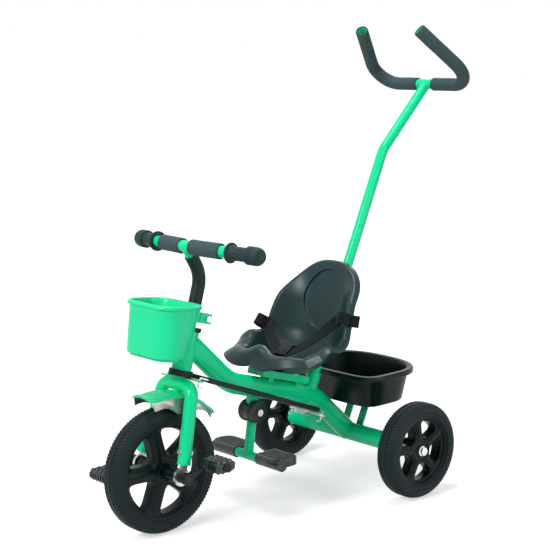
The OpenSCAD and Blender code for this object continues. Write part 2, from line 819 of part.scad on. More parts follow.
buckle_a = 63;
buckle_w = 46;
buckle_d = 34;
buckle_h = 13;
buckle_lift = 34;
strap_gap = 6;
strap_bulge = 7;
strap_sag = 6;
strap_th = 76;
over_lip = [90, 60, 30, 5];
lip_in = 0.9;
across = [0.2, 0.4, 0.6, 0.8];
buckle_tail = 12;
buckle_tip_over = 50;
buckle_side = [-cos(buckle_tip_over), 0, sin(buckle_tip_over)];
buckle_mid = seat_mid(buckle_a) + buckle_lift * dir(pan_head - 90);
buckle_end = [buckle_mid.x, buckle_w / 2 + play, buckle_mid.y];
buckle_tip = buckle_end + [0, buckle_tail, 0];
strap_in = seat_top(ray(lip_in, strap_th)) + strap_gap * seat_up(ray(lip_in, strap_th));
strap_pts = concat(
    [lip_pt(strap_th, strap_t / 2 + play, 90, lip_drop)],
    [for (f = over_lip) lip_pt(strap_th, strap_bulge, f, 0)],
    [strap_in],
    [for (k = across) mix(strap_in, buckle_tip, k) - [0, 0, strap_sag * sin(180 * k)]],
    [buckle_tip, buckle_end]);
strap_turns = concat([for (i = [0 : len(over_lip) + 1]) 0], across, [1, 1]);
strap_sides = [for (k = strap_turns) mix(-rim_side(strap_th), buckle_side, k)];

module belt_left() color(dark) on_mid() strip(strap_pts, strap_sides, strap_w, strap_t);

module belt_right() color(dark) mirror([0, 1, 0]) on_mid() strip(strap_pts, strap_sides, strap_w, strap_t);

module rounded_plate(x, y, r) {
    square([x, y - 2 * r], center = true);
    square([x - 2 * r, y], center = true);
    for (i = [-1, 1], j = [-1, 1]) translate([i * (x / 2 - r), j * (y / 2 - r)]) circle(r = r);
}

module belt_buckle() color(black) on_mid() at_side(buckle_mid) rotate([0, buckle_tip_over, 0])
    linear_extrude(buckle_h, center = true) rounded_plate(buckle_d, buckle_w, 7);

// Rear basket

basket_foot_x = (rear_floor_up - (beam_h / 2 + 3) / cos(beam_rear_slope)) / tan(beam_rear_slope);
rear_mid_x = basket_foot_x + rear_draft - rear_basket_d / 2;
rear_rim_z = floor_z + rear_basket_h;
rear_lip_h = 12;
lip_round = 3;
function rear_ring(inset, z) = [for (th = [0 : 6 : 359]) let (n = cos(th) > 0 ? 6 : 2.5)
    [rear_mid_x + (rear_basket_d / 2 - inset) * power(cos(th), n),
    (rear_basket_w / 2 - inset) * power(sin(th), n), z]];

module rear_basket() color(black) on_ground() difference() {
    ring_solid([
        rear_ring(rear_draft + 4, floor_z),
        rear_ring(rear_draft, floor_z + 4),
        rear_ring(0, rear_rim_z - rear_lip_h),
        rear_ring(-rear_lip, rear_rim_z - rear_lip_h),
        rear_ring(-rear_lip, rear_rim_z - lip_round),
        rear_ring(lip_round - rear_lip, rear_rim_z),
        rear_ring(basket_t - lip_round, rear_rim_z),
        rear_ring(basket_t, rear_rim_z - lip_round),
        rear_ring(rear_draft + basket_t, floor_z + basket_t + 4),
        rear_ring(rear_draft + basket_t + 4, floor_z + basket_t)]);
    for (i = [-1, 1]) translate([strut_bolt_x, i * strut_half, floor_z - cut])
        cylinder(r = bolt_r, h = basket_t + 2 * cut);
}

// Steering head and fork

crown_half = crown_w / 2;
foot_half = leg_spread / 2;
fork_path = [[-foot_half, leg_foot], [-crown_half, crown_s], [crown_half, crown_s], [foot_half, leg_foot]];
stem_low = clamp_s - 60;
screw_r = 2.5;
function leg_y(s) = foot_half + (crown_half - foot_half) * (s - leg_foot) / (crown_s - leg_foot);

module fork() color(paint) on_steer() difference() {
    union() {
        in_cross_plane() bent_bar(fork_path, crown_bend, leg_r);
        translate([0, 0, crown_s]) cylinder(r = steerer_r, h = sleeve_s - crown_s);
    }
    in_cross_plane() bent_bar(longer(fork_path, cut), crown_bend, leg_r - tube_wall);
    translate([0, 0, crown_s]) cylinder(r = stem_d / 2, h = sleeve_s - crown_s + cut);
    for (i = [-1, 1]) translate([0, i * leg_y(cross_bolt_s), cross_bolt_s]) rotate([0, 90, 0])
        cylinder(r = screw_r, h = 2 * leg_d, center = true);
    translate([0, 0, crown_s - leg_d]) cylinder(r = screw_r, h = leg_d);
}

tang_w = 15;
tang_top = cross_bolt_s + 8;
crank_axle_r = crank_axle_d / 2;

module dropouts() color(zinc) on_steer() for (i = [-1, 1]) difference() {
    translate([0, i * foot_half, 0]) {
        cross_rod(eye_d / 2, eye_t);
        translate([-tang_w / 2, -eye_t / 2, 0]) cube([tang_w, eye_t, tang_top]);
    }
    translate([0, i * foot_half, 0]) cross_rod(bush_d / 2, eye_t + 2 * cut);
    translate([0, i * leg_y(cross_bolt_s), cross_bolt_s]) rotate([0, 90, 0])
        cylinder(r = screw_r, h = 2 * tang_w, center = true);
}

bush_lip = 1.5;
bush_half = eye_t / 2 + bush_lip;

module dropout_bushes() color(black) on_steer() for (i = [-1, 1]) translate([0, i * foot_half, 0]) difference() {
    cross_rod(bush_d / 2, 2 * bush_half);
    cross_rod(crank_axle_r + fit, 2 * bush_half + 2 * cut);
}

screw_head_r = 5;
screw_head_h = 3;

module fork_bolts() color(zinc) on_steer() {
    for (i = [-1, 1]) translate([0, i * leg_y(cross_bolt_s), cross_bolt_s]) rotate([0, 90, 0]) {
        cylinder(r = screw_r, h = leg_d + 2 * screw_head_h, center = true);
        for (j = [0, 1]) mirror([0, 0, j]) translate([0, 0, leg_r]) cylinder(r = screw_head_r, h = screw_head_h);
    }
    translate([0, 0, guard_r - screw_head_h - play]) {
        cylinder(r = screw_head_r, h = screw_head_h);
        cylinder(r = screw_r, h = screw_head_h + play + crown_s - leg_r - guard_r + tube_wall + 2);
    }
}

arm_w = 18;
arm_hub_r = 19;
tongue = 40;

module steering_arm() color(paint) on_steer() translate([0, 0, arm_s]) linear_extrude(arm_t) difference() {
    union() {
        circle(r = arm_hub_r);
        translate([-arm_back, 0]) square([arm_w, 2 * arm_half], center = true);
        for (i = [-1, 1]) translate([-arm_back, i * arm_half]) circle(d = arm_w);
        translate([tongue / 2, 0]) square([tongue, arm_w], center = true);
    }
    circle(r = steerer_r);
    for (i = [-1, 1]) translate([-arm_back, i * arm_half]) circle(r = wire_r + fit);
}

guard_start = 90 - mudguard_arc / 2;
guard_edge = 5;
rib_count = 5;
rib_pitch = mudguard_w / (rib_count + 1);

module mudguard() color(paint) on_steer() difference() {
    union() {
        rotate([90, 0, 0]) rotate(guard_start) rotate_extrude(angle = mudguard_arc) {
            translate([guard_r, -mudguard_w / 2]) square([mudguard_t, mudguard_w]);
            for (i = [0, 1]) mirror([0, i]) translate([guard_r - guard_edge, mudguard_w / 2 - mudguard_t])
                square([guard_edge + mudguard_t, mudguard_t]);
            for (k = [0 : rib_count - 1]) translate([guard_r, (k + 1) * rib_pitch - mudguard_w / 2 - 2])
                square([mudguard_t + mudguard_rib, 4]);
        }
        translate([0, 0, guard_r]) cylinder(r = 8, h = crown_s - guard_r);
    }
    in_cross_plane() bent_bar(fork_path, crown_bend, leg_r);
    translate([0, 0, guard_r - cut]) cylinder(r = screw_r, h = crown_s);
}

skirt_t = 2;
skirt_r = guard_r - play / 3;
function skirt_in(f) = skirt_r - skirt_h - 17 * exp(-pow((f - 4) / 11, 2)) + 6 * exp(-pow((f + 24) / 8, 2));

module mudguard_skirts() color(silver) on_steer() for (i = [0, 1]) mirror([0, i, 0])
    translate([0, mudguard_w / 2 - mudguard_t - play / 3, 0]) rotate([90, 0, 0]) linear_extrude(skirt_t)
        polygon(concat(
            [for (f = [-mudguard_arc / 2 : 2 : mudguard_arc / 2]) skirt_r * dir(90 - f)],
            [for (f = [mudguard_arc / 2 : -2 : -mudguard_arc / 2]) skirt_in(f) * dir(90 - f)]));

module locknut() color(zinc) on_steer() translate([0, 0, nut_s]) difference() {
    cylinder(r = 20, h = locknut_h, $fn = 6);
    translate([0, 0, -cut]) cylinder(r = steerer_r, h = locknut_h + 2 * cut);
}

ear_w = 20;
slit = 3;
clamp_bolt_x = clamp_reach - 9;
basket_x = top_cup_d / 2 + 2;
pad_half = 20;
basket_screw_y = 12;
basket_screw_s = clamp_s + clamp_h / 2;

module stem_clamp() color(paint) on_steer() difference() {
    translate([0, 0, clamp_s]) {
        cylinder(d = clamp_d, h = clamp_h);
        translate([-clamp_reach, -ear_w / 2, 0]) cube([clamp_reach, ear_w, clamp_h]);
        translate([0, -pad_half, 0]) cube([basket_x, 2 * pad_half, clamp_h]);
    }
    translate([0, 0, clamp_s - cut]) cylinder(r = steerer_r, h = clamp_h + 2 * cut);
    translate([-clamp_reach - cut, -slit / 2, clamp_s - cut]) cube([clamp_reach + cut, slit, clamp_h + 2 * cut]);
    translate([-clamp_bolt_x, 0, clamp_s + clamp_h / 2]) cross_rod(bolt_r, ear_w + 2 * cut);
    for (i = [-1, 1]) translate([basket_x - 8, i * basket_screw_y, basket_screw_s]) rotate([0, 90, 0])
        cylinder(r = screw_r, h = 8 + cut);
}

module clamp_bolt() color(zinc) on_steer() translate([-clamp_bolt_x, 0, clamp_s + clamp_h / 2]) {
    cross_rod(bolt_r, ear_w + 2 * bolt_head_h);
    for (i = [0, 1]) mirror([0, i, 0]) side_rod(bolt_head_r, ear_w / 2, ear_w / 2 + bolt_head_h);
}

// Stem and handlebar

stem_top = sleeve_s + stem_rise;
stem_up = dir(90 - stem_lean);
bar_mid = [0, stem_top] + stem_reach * stem_up;
stem_path = [[0, stem_low], [0, stem_top], bar_mid];
bar_r = bar_d / 2;
bar_bend = 40;
bar_end = bar_half * dir(90 + bar_sweep);
bar_path = [bar_end, [0, 0], [bar_end.x, -bar_end.y]];

module at_bar() {
    on_steer() at_side(bar_mid) rotate([0, bar_dip, 0]) children();
}

module on_bar() {
    at_bar() rotate([-90, 0, bar_sweep]) children();
}

module stem() color(paint) difference() {
    on_steer() in_side_plane() bent_tube(stem_path, stem_bend, stem_d / 2, tube_wall);
    at_bar() bent_bar(bar_path, bar_bend, bar_r);
}

sleeve_top = stem_reach - bar_r - 9;

module stem_sleeve() color(dark) on_steer() in_side_plane()
    bent_tube([[0, sleeve_s + play], [0, stem_top], [0, stem_top] + sleeve_top * stem_up],
        stem_bend, sleeve_d / 2, (sleeve_d - stem_d) / 2);

module handlebar() color(paint) at_bar() bent_tube(bar_path, bar_bend, bar_r, tube_wall);

module bar_foam() color(dark) for (i = [0, 1]) mirror([0, i, 0])
    on_bar() translate([0, 0, bar_foam_from]) difference() {
    cylinder(d = bar_foam_d, h = bar_foam_len);
    translate([0, 0, -cut]) cylinder(r = bar_r, h = bar_foam_len + 2 * cut);
}

grip_cap = 6;
grip_from = bar_half + grip_cap - grip_len;
flange_h = 5;
knob_len = 38;

module grip() on_bar() difference() {
    union() {
        translate([0, 0, grip_from]) cylinder(d = flange_d, h = flange_h);
        translate([0, 0, grip_from]) cylinder(d = grip_d, h = grip_len - knob_d / 2);
        translate([0, 0, grip_from + grip_len - knob_len]) cylinder(d = knob_d, h = knob_len - knob_d / 2);
        translate([0, 0, grip_from + grip_len - knob_d / 2]) sphere(d = knob_d);
    }
    translate([0, 0, grip_from - cut]) cylinder(r = bar_r, h = grip_len - grip_cap + cut);
}

module grip_left() color(black) grip();

module grip_right() color(black) mirror([0, 1, 0]) grip();

// Front basket

front_floor_s = clamp_s - 68;
corner_r = 36;
front_lip = 4;
front_lip_h = 8;
function round_rect(x0, x1, w, r) = [for (c = [0 : 3], k = [0 : 8]) let (a = c * 90 + k * 11.25)
    [(c == 0 || c == 3 ? x1 - r : x0 + r) + r * cos(a), (c < 2 ? w / 2 - r : r - w / 2) + r * sin(a)]];
back_wall_k = 0.55;
function front_ring(k, grow, lift) = let (
    x0 = basket_x + front_floor_in * max(0, 1 - k / back_wall_k),
    x1 = basket_x + front_floor_in * (1 - k) + mix(front_floor_d, front_basket_d, k),
    w = mix(front_floor_w, front_basket_w, k)
) [for (p = round_rect(x0 - grow, x1 + grow, w + 2 * grow, corner_r + grow))
    [p.x, p.y, front_floor_s + k * front_basket_h + lift - (p.x - basket_x) * tan(front_rim_slope)]];

module front_basket() color(paint) on_steer() difference() {
    ring_solid([
        front_ring(0, -9, -5),
        front_ring(0, -7, 0),
        front_ring(0, -3, 0),
        front_ring(0, 0, 3),
        front_ring(back_wall_k, 0, 0),
        front_ring(1, 0, -front_lip_h),
        front_ring(1, front_lip, -front_lip_h + 1),
        front_ring(1, front_lip, -2),
        front_ring(1, front_lip - 2, 0),
        front_ring(1, -1, 0),
        front_ring(1, -basket_t, -2),
        front_ring(back_wall_k, -basket_t, 0),
        front_ring(0, -basket_t, basket_t + 3),
        front_ring(0, -basket_t - 3, basket_t)]);
    for (i = [-1, 1]) translate([basket_x - cut, i * basket_screw_y, basket_screw_s]) rotate([0, 90, 0])
        cylinder(r = screw_r, h = basket_t + 2 * cut);
}

module basket_screws() color(zinc) on_steer() for (i = [-1, 1])
    translate([basket_x - 8, i * basket_screw_y, basket_screw_s]) rotate([0, 90, 0]) {
        cylinder(r = screw_r, h = 8 + basket_t + screw_head_h);
        translate([0, 0, 8 + basket_t]) cylinder(r = screw_head_r, h = screw_head_h);
    }

// Wheels

tyre_round = 15;
bead_w = 8;

module tyre(r, rim_r, w) {
    h = r - rim_r;
    rotate([90, 0, 0]) rotate_extrude() difference() {
        union() {
            translate([rim_r, -w / 2 + tyre_round]) square([h, w - 2 * tyre_round]);
            translate([rim_r, -w / 2]) square([h - tyre_round, w]);
            for (i = [-1, 1]) translate([r - tyre_round, i * (w / 2 - tyre_round)]) circle(r = tyre_round);
        }
        for (i = [-1, 1]) translate([r - 2, i * 7 - 1.5]) square([4, 3]);
        translate([rim_r - 2 * tyre_round, -w]) square([2 * tyre_round, 2 * w]);
    }
}

window_round = 7;

module window(rim_r) {
    half = 180 / spoke_count;
    tip = spoke_w / 2 / sin(half) * dir(0);
    offset(r = window_round) offset(delta = -window_round) intersection() {
        difference() {
            circle(r = rim_r - rim_wall - 5);
            circle(r = hub_r + 3);
        }
        polygon([tip, tip + 2 * rim_r * dir(-half), tip + 2 * rim_r * dir(half)]);
    }
}

rim_inset = 5;
front_phase = 3;
rear_phase = 11;

// Rim turned round its own axle, with hub ends at two sideways stations
module rim(rim_r, w, y0, y1, bore, phase) {
    difference() {
        union() {
            rotate([90, 0, 0]) {
                rotate_extrude() {
                    translate([rim_r - rim_wall, -w / 2 + rim_inset]) square([rim_wall, w - 2 * rim_inset]);
                    for (i = [-1, 1]) translate([rim_r - 3, i * (w / 2 - rim_inset) - 2]) square([3, 4]);
                }
                difference() {
                    cylinder(r = rim_r - rim_wall / 2, h = web_w, center = true);
                    for (k = [0 : spoke_count - 1]) rotate(phase + (k + 0.5) * 360 / spoke_count)
                        linear_extrude(2 * w, center = true) window(rim_r);
                }
            }
            cross_rod(hub_r, hub_w);
            side_rod(hub_r * 0.62, y0, y1);
        }
        cross_rod(bore, 4 * w + 2 * (y1 - y0));
    }
}

front_hub_half = foot_half - bush_half - play;

module front_tyre() color(dark) on_front_axle() tyre(front_r, front_rim_r + tyre_fit, front_tyre_w);

module front_rim() color(black) on_front_axle()
    rim(front_rim_r, front_tyre_w, -front_hub_half, front_hub_half, crank_axle_r, front_phase);

hub_in = tube_half + plug_t + play - wheel_y;

module rear_wheel_at(i) {
    mirror([0, i, 0]) on_ground() at_side(beam_a) translate([0, wheel_y, 0]) children();
}

module rear_tyre_left() color(dark) rear_wheel_at(0) tyre(rear_r, rear_rim_r + tyre_fit, rear_tyre_w);

module rear_tyre_right() color(dark) rear_wheel_at(1) tyre(rear_r, rear_rim_r + tyre_fit, rear_tyre_w);

module rear_rim_left() color(black) rear_wheel_at(0)
    rim(rear_rim_r, rear_tyre_w, hub_in, hub_out - wheel_y, axle_r + fit, rear_phase);

module rear_rim_right() color(black) rear_wheel_at(1)
    rim(rear_rim_r, rear_tyre_w, hub_in, hub_out - wheel_y, axle_r + fit, rear_phase);

// Cranks and pedals

arm_in = foot_half + leg_r + 2;
arm_thick = 9;
boss_r = 11;
arm_out = arm_in + arm_thick;
pedal_in = arm_out + 2;
pin_cap = 2;

module crank_axle() color(zinc) on_front_axle() cross_rod(crank_axle_r, 2 * arm_out);

// Left crank drawn with its arm pointing to +X; the side and angle are set where it is placed
module crank() {
    difference() {
        union() {
            side_rod(boss_r, foot_half + bush_half + play, arm_out - 1);
            translate([0, arm_out, 0]) rotate([90, 0, 0]) linear_extrude(arm_thick) {
                circle(r = 12);
                translate([0, -7]) square([crank_len, 14]);
                translate([crank_len, 0]) circle(r = 10);
            }
        }
        side_rod(crank_axle_r, 0, arm_out + cut);
    }
    translate([crank_len, 0, 0]) {
        side_rod(crank_axle_r, arm_out, pedal_in + pedal_w + play + pin_cap);
        side_rod(crank_axle_r + 3, pedal_in + pedal_w + play, pedal_in + pedal_w + play + pin_cap);
    }
}

module crank_left() color(dark) on_front_axle() rotate([0, 180 + crank_angle, 0]) crank();

module crank_right() color(dark) on_front_axle() mirror([0, 1, 0]) rotate([0, crank_angle, 0]) crank();

pedal_round = 6;
groove_w = 4;
groove_d = 2.5;
pedal_left_at = crank_len * dir(180 - crank_angle);

module pedal() difference() {
    translate([0, pedal_in + pedal_w, 0]) rotate([90, 0, 0])
        linear_extrude(pedal_w) rounded_plate(pedal_len, pedal_h, pedal_round);
    side_rod(crank_axle_r + fit, pedal_in - cut, pedal_in + pedal_w + cut);
    for (k = [-1, 0, 1], j = [-1, 1])
        translate([k * pedal_len / 4, pedal_in + pedal_w / 2, j * pedal_h / 2])
            cube([groove_w, pedal_w + 2 * cut, 2 * groove_d], center = true);
}

module pedal_left() color(black) on_front_axle() at_side(pedal_left_at) pedal();

module pedal_right() color(black) on_front_axle() at_side(-pedal_left_at) mirror([0, 1, 0]) pedal();

// Push bar

lever_nut_h = 7;
push_low = push_pt(0, lever_t - arm_t - lever_nut_h);
handle_path = [[horn_reach, handle_half - horn_in], [0, handle_half], [0, -handle_half],
    [horn_reach, horn_in - handle_half]];

module push_bar() color(paint) difference() {
    on_ground() in_side_plane() bent_tube([push_low, push_b, push_c], push_bend, push_r, tube_wall);
    on_handle() cross_rod(push_r, handle_half);
}

module push_handle() color(paint) on_handle() bent_tube(handle_path, handle_bend, push_r, tube_wall);

module handle_foam() color(dark) for (i = [0, 1]) mirror([0, i, 0]) on_handle()
    bent_tube([[0, handle_bare / 2], [0, handle_half], [horn_reach, handle_half - horn_in]],
        handle_bend, handle_foam_r, handle_foam_r - push_r);

rod_hole_gap = 0.6;

module pusher_lever() color(zinc) on_pusher()
    translate([0, 0, lever_t - arm_t]) linear_extrude(arm_t) difference() {
    union() {
        circle(r = arm_hub_r);
        translate([-arm_back, 0]) square([arm_w, 2 * arm_half], center = true);
        for (i = [-1, 1]) translate([-arm_back, i * arm_half]) circle(d = arm_w);
    }
    circle(r = push_r);
    for (i = [-1, 1]) translate([-arm_back, i * arm_half]) circle(r = wire_r + rod_hole_gap);
}

module lever_nut() color(zinc) on_pusher() translate([0, 0, lever_t - arm_t - lever_nut_h]) difference() {
    cylinder(r = 18, h = lever_nut_h, $fn = 6);
    translate([0, 0, -cut]) cylinder(r = push_r, h = lever_nut_h + 2 * cut);
}

// Tie rods

rod_bend = 4;
rod_len = norm(rod_rear_top - rod_front_top);
sleeve_front = 24;
sleeve_rear = 14;

module tie_rod() on_ground() translate([0, arm_half, 0]) in_side_plane() bent_bar(rod_path, rod_bend, wire_r);

module rod_sleeve() on_ground() translate([0, arm_half, 0]) in_side_plane()
    bent_tube([rod_front_top + sleeve_front * rod_run, rod_rear_top - sleeve_rear * rod_run],
        rod_bend, rod_sleeve_d / 2, rod_sleeve_d / 2 - wire_r);

module tie_rod_left() color(zinc) tie_rod();

module tie_rod_right() color(zinc) mirror([0, 1, 0]) tie_rod();

module rod_sleeve_left() color(black) rod_sleeve();

module rod_sleeve_right() color(black) mirror([0, 1, 0]) rod_sleeve();

// Footrest

drum_r = drum_d / 2;
post_from = lug_r + 2;
// Depth of the drum's slot below the hinge, which clears the lug's neck when folded
neck_out = sqrt(pow(lug_r, 2) - pow(neck_half, 2));
slot_low = neck_half * sin(fold_angle) - neck_out * cos(fold_angle) + play;

module on_post() {
    on_foot() rotate([0, 180 - post_lean, 0]) children();
}

module footrest_drum() color(black) difference() {
    on_foot() difference() {
        cross_rod(drum_r, drum_w);
        cross_rod(lug_r + play, lug_t + 2 * play);
        translate([-drum_d, -lug_t / 2 - play, -slot_low])
            cube([drum_d + neck_half + 2 * play, lug_t + 2 * play, drum_d]);
        cross_rod(hinge_bolt_d / 2 + fit, drum_w + 2 * cut);
    }
    on_post() translate([0, 0, post_from]) cylinder(d = post_d, h = post_len);
}

cross_half = cross_bare + pad_w - 12;

module footrest_post() color(paint) on_post() difference() {
    union() {
        translate([0, 0, post_from]) cylinder(d = post_d, h = post_len - post_from);
        translate([0, 0, post_len]) cross_rod(cross_d / 2, 2 * cross_half);
    }
    translate([0, 0, post_len]) cross_rod(cross_d / 2 - tube_wall, 2 * cross_half + 2 * cut);
    translate([0, 0, post_from - cut]) cylinder(r = post_d / 2 - tube_wall, h = post_len - post_from);
}

pad_ahead = 9;
pad_top = 12;
pad_under = 2;
pad_end = 22;
pad_sleeve_r = cross_d / 2 + 3;
foot_cross = post_len * [sin(post_lean), -cos(post_lean)];

module foot_pads() color(black) on_foot() at_side(foot_cross) for (i = [0, 1]) mirror([0, i, 0]) difference() {
    union() {
        translate([0, 0, -pad_under]) linear_extrude(pad_top + pad_under) {
            translate([pad_ahead - pad_len, cross_bare]) square([pad_len, pad_w - pad_end]);
            translate([pad_ahead - pad_len + pad_end, cross_bare]) square([pad_len - 2 * pad_end, pad_w]);
            for (x = [pad_ahead - pad_end, pad_ahead - pad_len + pad_end])
                translate([x, cross_bare + pad_w - pad_end]) circle(r = pad_end);
        }
        side_rod(pad_sleeve_r, cross_bare, cross_bare + pad_w - 8);
    }
    side_rod(cross_d / 2, cross_bare - cut, cross_half);
}

main_beam();
head_tube();
rear_axle_tube();
pusher_socket();
seat_channel();
footrest_lug();
basket_struts();
lower_cup();
upper_cup();
seat_shell();
belt_left();
belt_right();
belt_buckle();
frame_bolts();
rear_basket();
rear_axle();
axle_plugs();
axle_nuts();
footrest_bolt();
fork();
dropouts();
dropout_bushes();
fork_bolts();
steering_arm();
mudguard();
mudguard_skirts();
locknut();
stem_clamp();
clamp_bolt();
stem();
stem_sleeve();
handlebar();
bar_foam();
grip_left();
grip_right();
front_basket();
basket_screws();
front_tyre();
front_rim();
crank_axle();
crank_left();
crank_right();
pedal_left();
pedal_right();
rear_tyre_left();
rear_rim_left();
rear_tyre_right();
rear_rim_right();
push_bar();
push_handle();
handle_foam();
pusher_lever();
lever_nut();
tie_rod_left();
rod_sleeve_left();
tie_rod_right();
rod_sleeve_right();
footrest_drum();
footrest_post();
foot_pads();
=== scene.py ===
import math
from types import SimpleNamespace as Sizes

import bpy
import bmesh
from mathutils import Matrix, Vector, noise


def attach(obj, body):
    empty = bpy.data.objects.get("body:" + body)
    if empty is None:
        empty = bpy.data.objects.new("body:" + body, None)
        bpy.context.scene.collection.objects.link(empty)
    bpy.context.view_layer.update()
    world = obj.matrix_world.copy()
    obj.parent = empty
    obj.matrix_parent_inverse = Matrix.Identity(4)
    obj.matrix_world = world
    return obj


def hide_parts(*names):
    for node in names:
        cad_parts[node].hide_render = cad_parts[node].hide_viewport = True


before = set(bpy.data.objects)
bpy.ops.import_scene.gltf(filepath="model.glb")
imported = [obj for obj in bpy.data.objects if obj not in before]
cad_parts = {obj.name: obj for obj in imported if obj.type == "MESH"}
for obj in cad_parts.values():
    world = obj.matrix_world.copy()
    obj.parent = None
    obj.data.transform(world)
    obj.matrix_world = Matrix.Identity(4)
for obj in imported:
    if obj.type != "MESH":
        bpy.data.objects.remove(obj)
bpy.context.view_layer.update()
scene = bpy.context.scene
scene.view_settings.view_transform = "Standard"
print("frame loaded with", len(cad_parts), "nodes")

mm = 0.001
midX = 182.388  # rear axle to the middle of the box, in mm


def cosSin(degrees):
    return math.cos(math.radians(degrees)), math.sin(math.radians(degrees))


# even turns round a circle
def turnsOf(count):
    return [2 * math.pi * k / count for k in range(count)]


# side view millimetres, counted from the rear axle on the ground, to the row frame
def place(x, y, z):
    return Vector(((x - midX) * mm, y * mm, z * mm))


# frame at a centre, with its second axis outward
def around(centre, side=1):
    return lambda x, y, z: place(centre[0] + x, centre[1] + side * y, centre[2] + z)


# frame whose first axis climbs at a slope in the side view
def tilted(origin, slope):
    c, s = cosSin(slope)
    return lambda u, y, n: place(origin[0] + u * c - n * s, y, origin[1] + u * s + n * c)


frontAxle = (508, 0, 125)
rearAxleLeft, rearAxleRight = (0, 204.5, 100), (0, -204.5, 100)
beamTilt, steerTilt, handleTilt = 17, 17, 46.2
onBeam = tilted((101.721, 197.207), beamTilt)
onSteer = tilted((frontAxle[0], frontAxle[2]), steerTilt)
onHandle = tilted((-254.224, 840.096), handleTilt)


def smooth(x):
    t = min(1.0, max(0.0, x))
    return t * t * (3 - 2 * t)


def mixed(a, b, k):
    return a + (b - a) * k


xAxis, yAxis, zAxis = Vector((1, 0, 0)), Vector((0, 1, 0)), Vector((0, 0, 1))


# shader node groups

def startGroup(name, inputs, outputs):
    tree = bpy.data.node_groups.new(name, "ShaderNodeTree")
    for way, labels in (("INPUT", inputs), ("OUTPUT", outputs)):
        for label in labels:
            tree.interface.new_socket(label, in_out=way, socket_type="NodeSocketFloat")
    return tree, tree.nodes.new("NodeGroupInput"), tree.nodes.new("NodeGroupOutput")


# node with its settings, and inputs that are values or sockets to link
def addNode(tree, kind, inputs, **settings):
    node = tree.nodes.new("ShaderNode" + kind)
    for key, v in settings.items():
        setattr(node, key, v)
    for label, v in inputs.items():
        if isinstance(v, bpy.types.NodeSocket):
            tree.links.new(v, node.inputs[label])
        else:
            node.inputs[label].default_value = v
    return node


def mathNode(tree, kind, *given):
    return addNode(tree, "Math", dict(enumerate(given)), operation=kind).outputs[0]


def rangeNode(tree, value, lo, hi, outLo=0.0, outHi=1.0, kind="SMOOTHSTEP"):
    inputs = {"Value": value, "From Min": lo, "From Max": hi, "To Min": outLo, "To Max": outHi}
    return addNode(tree, "MapRange", inputs, interpolation_type=kind).outputs["Result"]


def noiseNode(tree, scale, detail):
    spot = addNode(tree, "TexCoord", {}).outputs["Object"]
    return addNode(tree, "TexNoise", {"Vector": spot, "Scale": scale, "Detail": detail}).outputs["Fac"]


# moulded or sprayed surface: a fine height and a slow change of tone
def makeGrain():
    tree, given, out = startGroup("surfaceGrain", ["Scale", "Patch Scale"], ["Height", "Tone"])
    fine = noiseNode(tree, given.outputs["Scale"], 3.0)
    slow = noiseNode(tree, given.outputs["Patch Scale"], 4.0)
    tree.links.new(fine, out.inputs["Height"])
    tree.links.new(rangeNode(tree, slow, 0.3, 0.7), out.inputs["Tone"])
    return tree


# rubbed edges and settled dust, as masks
def makeWear():
    tree, given, out = startGroup("wearAndDust", ["Scale"], ["Edge", "Dust"])
    patch = rangeNode(tree, noiseNode(tree, given.outputs["Scale"], 6.0), 0.45, 0.65)
    geometry = addNode(tree, "NewGeometry", {}).outputs
    rim = rangeNode(tree, geometry["Pointiness"], 0.53, 0.62)
    facing = addNode(tree, "SeparateXYZ", {0: geometry["Normal"]})
    upward = rangeNode(tree, facing.outputs["Z"], 0.55, 1.0)
    for mask, label in ((rim, "Edge"), (upward, "Dust")):
        tree.links.new(mathNode(tree, "MULTIPLY", mask, patch), out.inputs[label])
    return tree


# plain weave over a strap's own UV map, in threads per unit of it
def makeWeave():
    tree, given, out = startGroup("webbingWeave", ["Along", "Across"], ["Height", "Tone"])
    uv = addNode(tree, "SeparateXYZ", {0: addNode(tree, "TexCoord", {}).outputs["UV"]})
    warp, weft = [mathNode(tree, "SINE", mathNode(tree, "MULTIPLY", uv.outputs[axis], given.outputs[way]))
                  for axis, way in (("X", "Along"), ("Y", "Across"))]
    raised = rangeNode(tree, mathNode(tree, "MULTIPLY", warp, weft), -0.6, 0.6)
    tree.links.new(raised, out.inputs["Height"])
    tree.links.new(rangeNode(tree, weft, -1.0, 1.0), out.inputs["Tone"])
    return tree


grainGroup = makeGrain()
wearGroup = makeWear()
weaveGroup = makeWeave()


def colourMix(tree, factor, a, b):
    a, b = [(*v, 1.0) if isinstance(v, tuple) else v for v in (a, b)]
    return addNode(tree, "Mix", {0: factor, 6: a, 7: b}, data_type="RGBA").outputs[2]


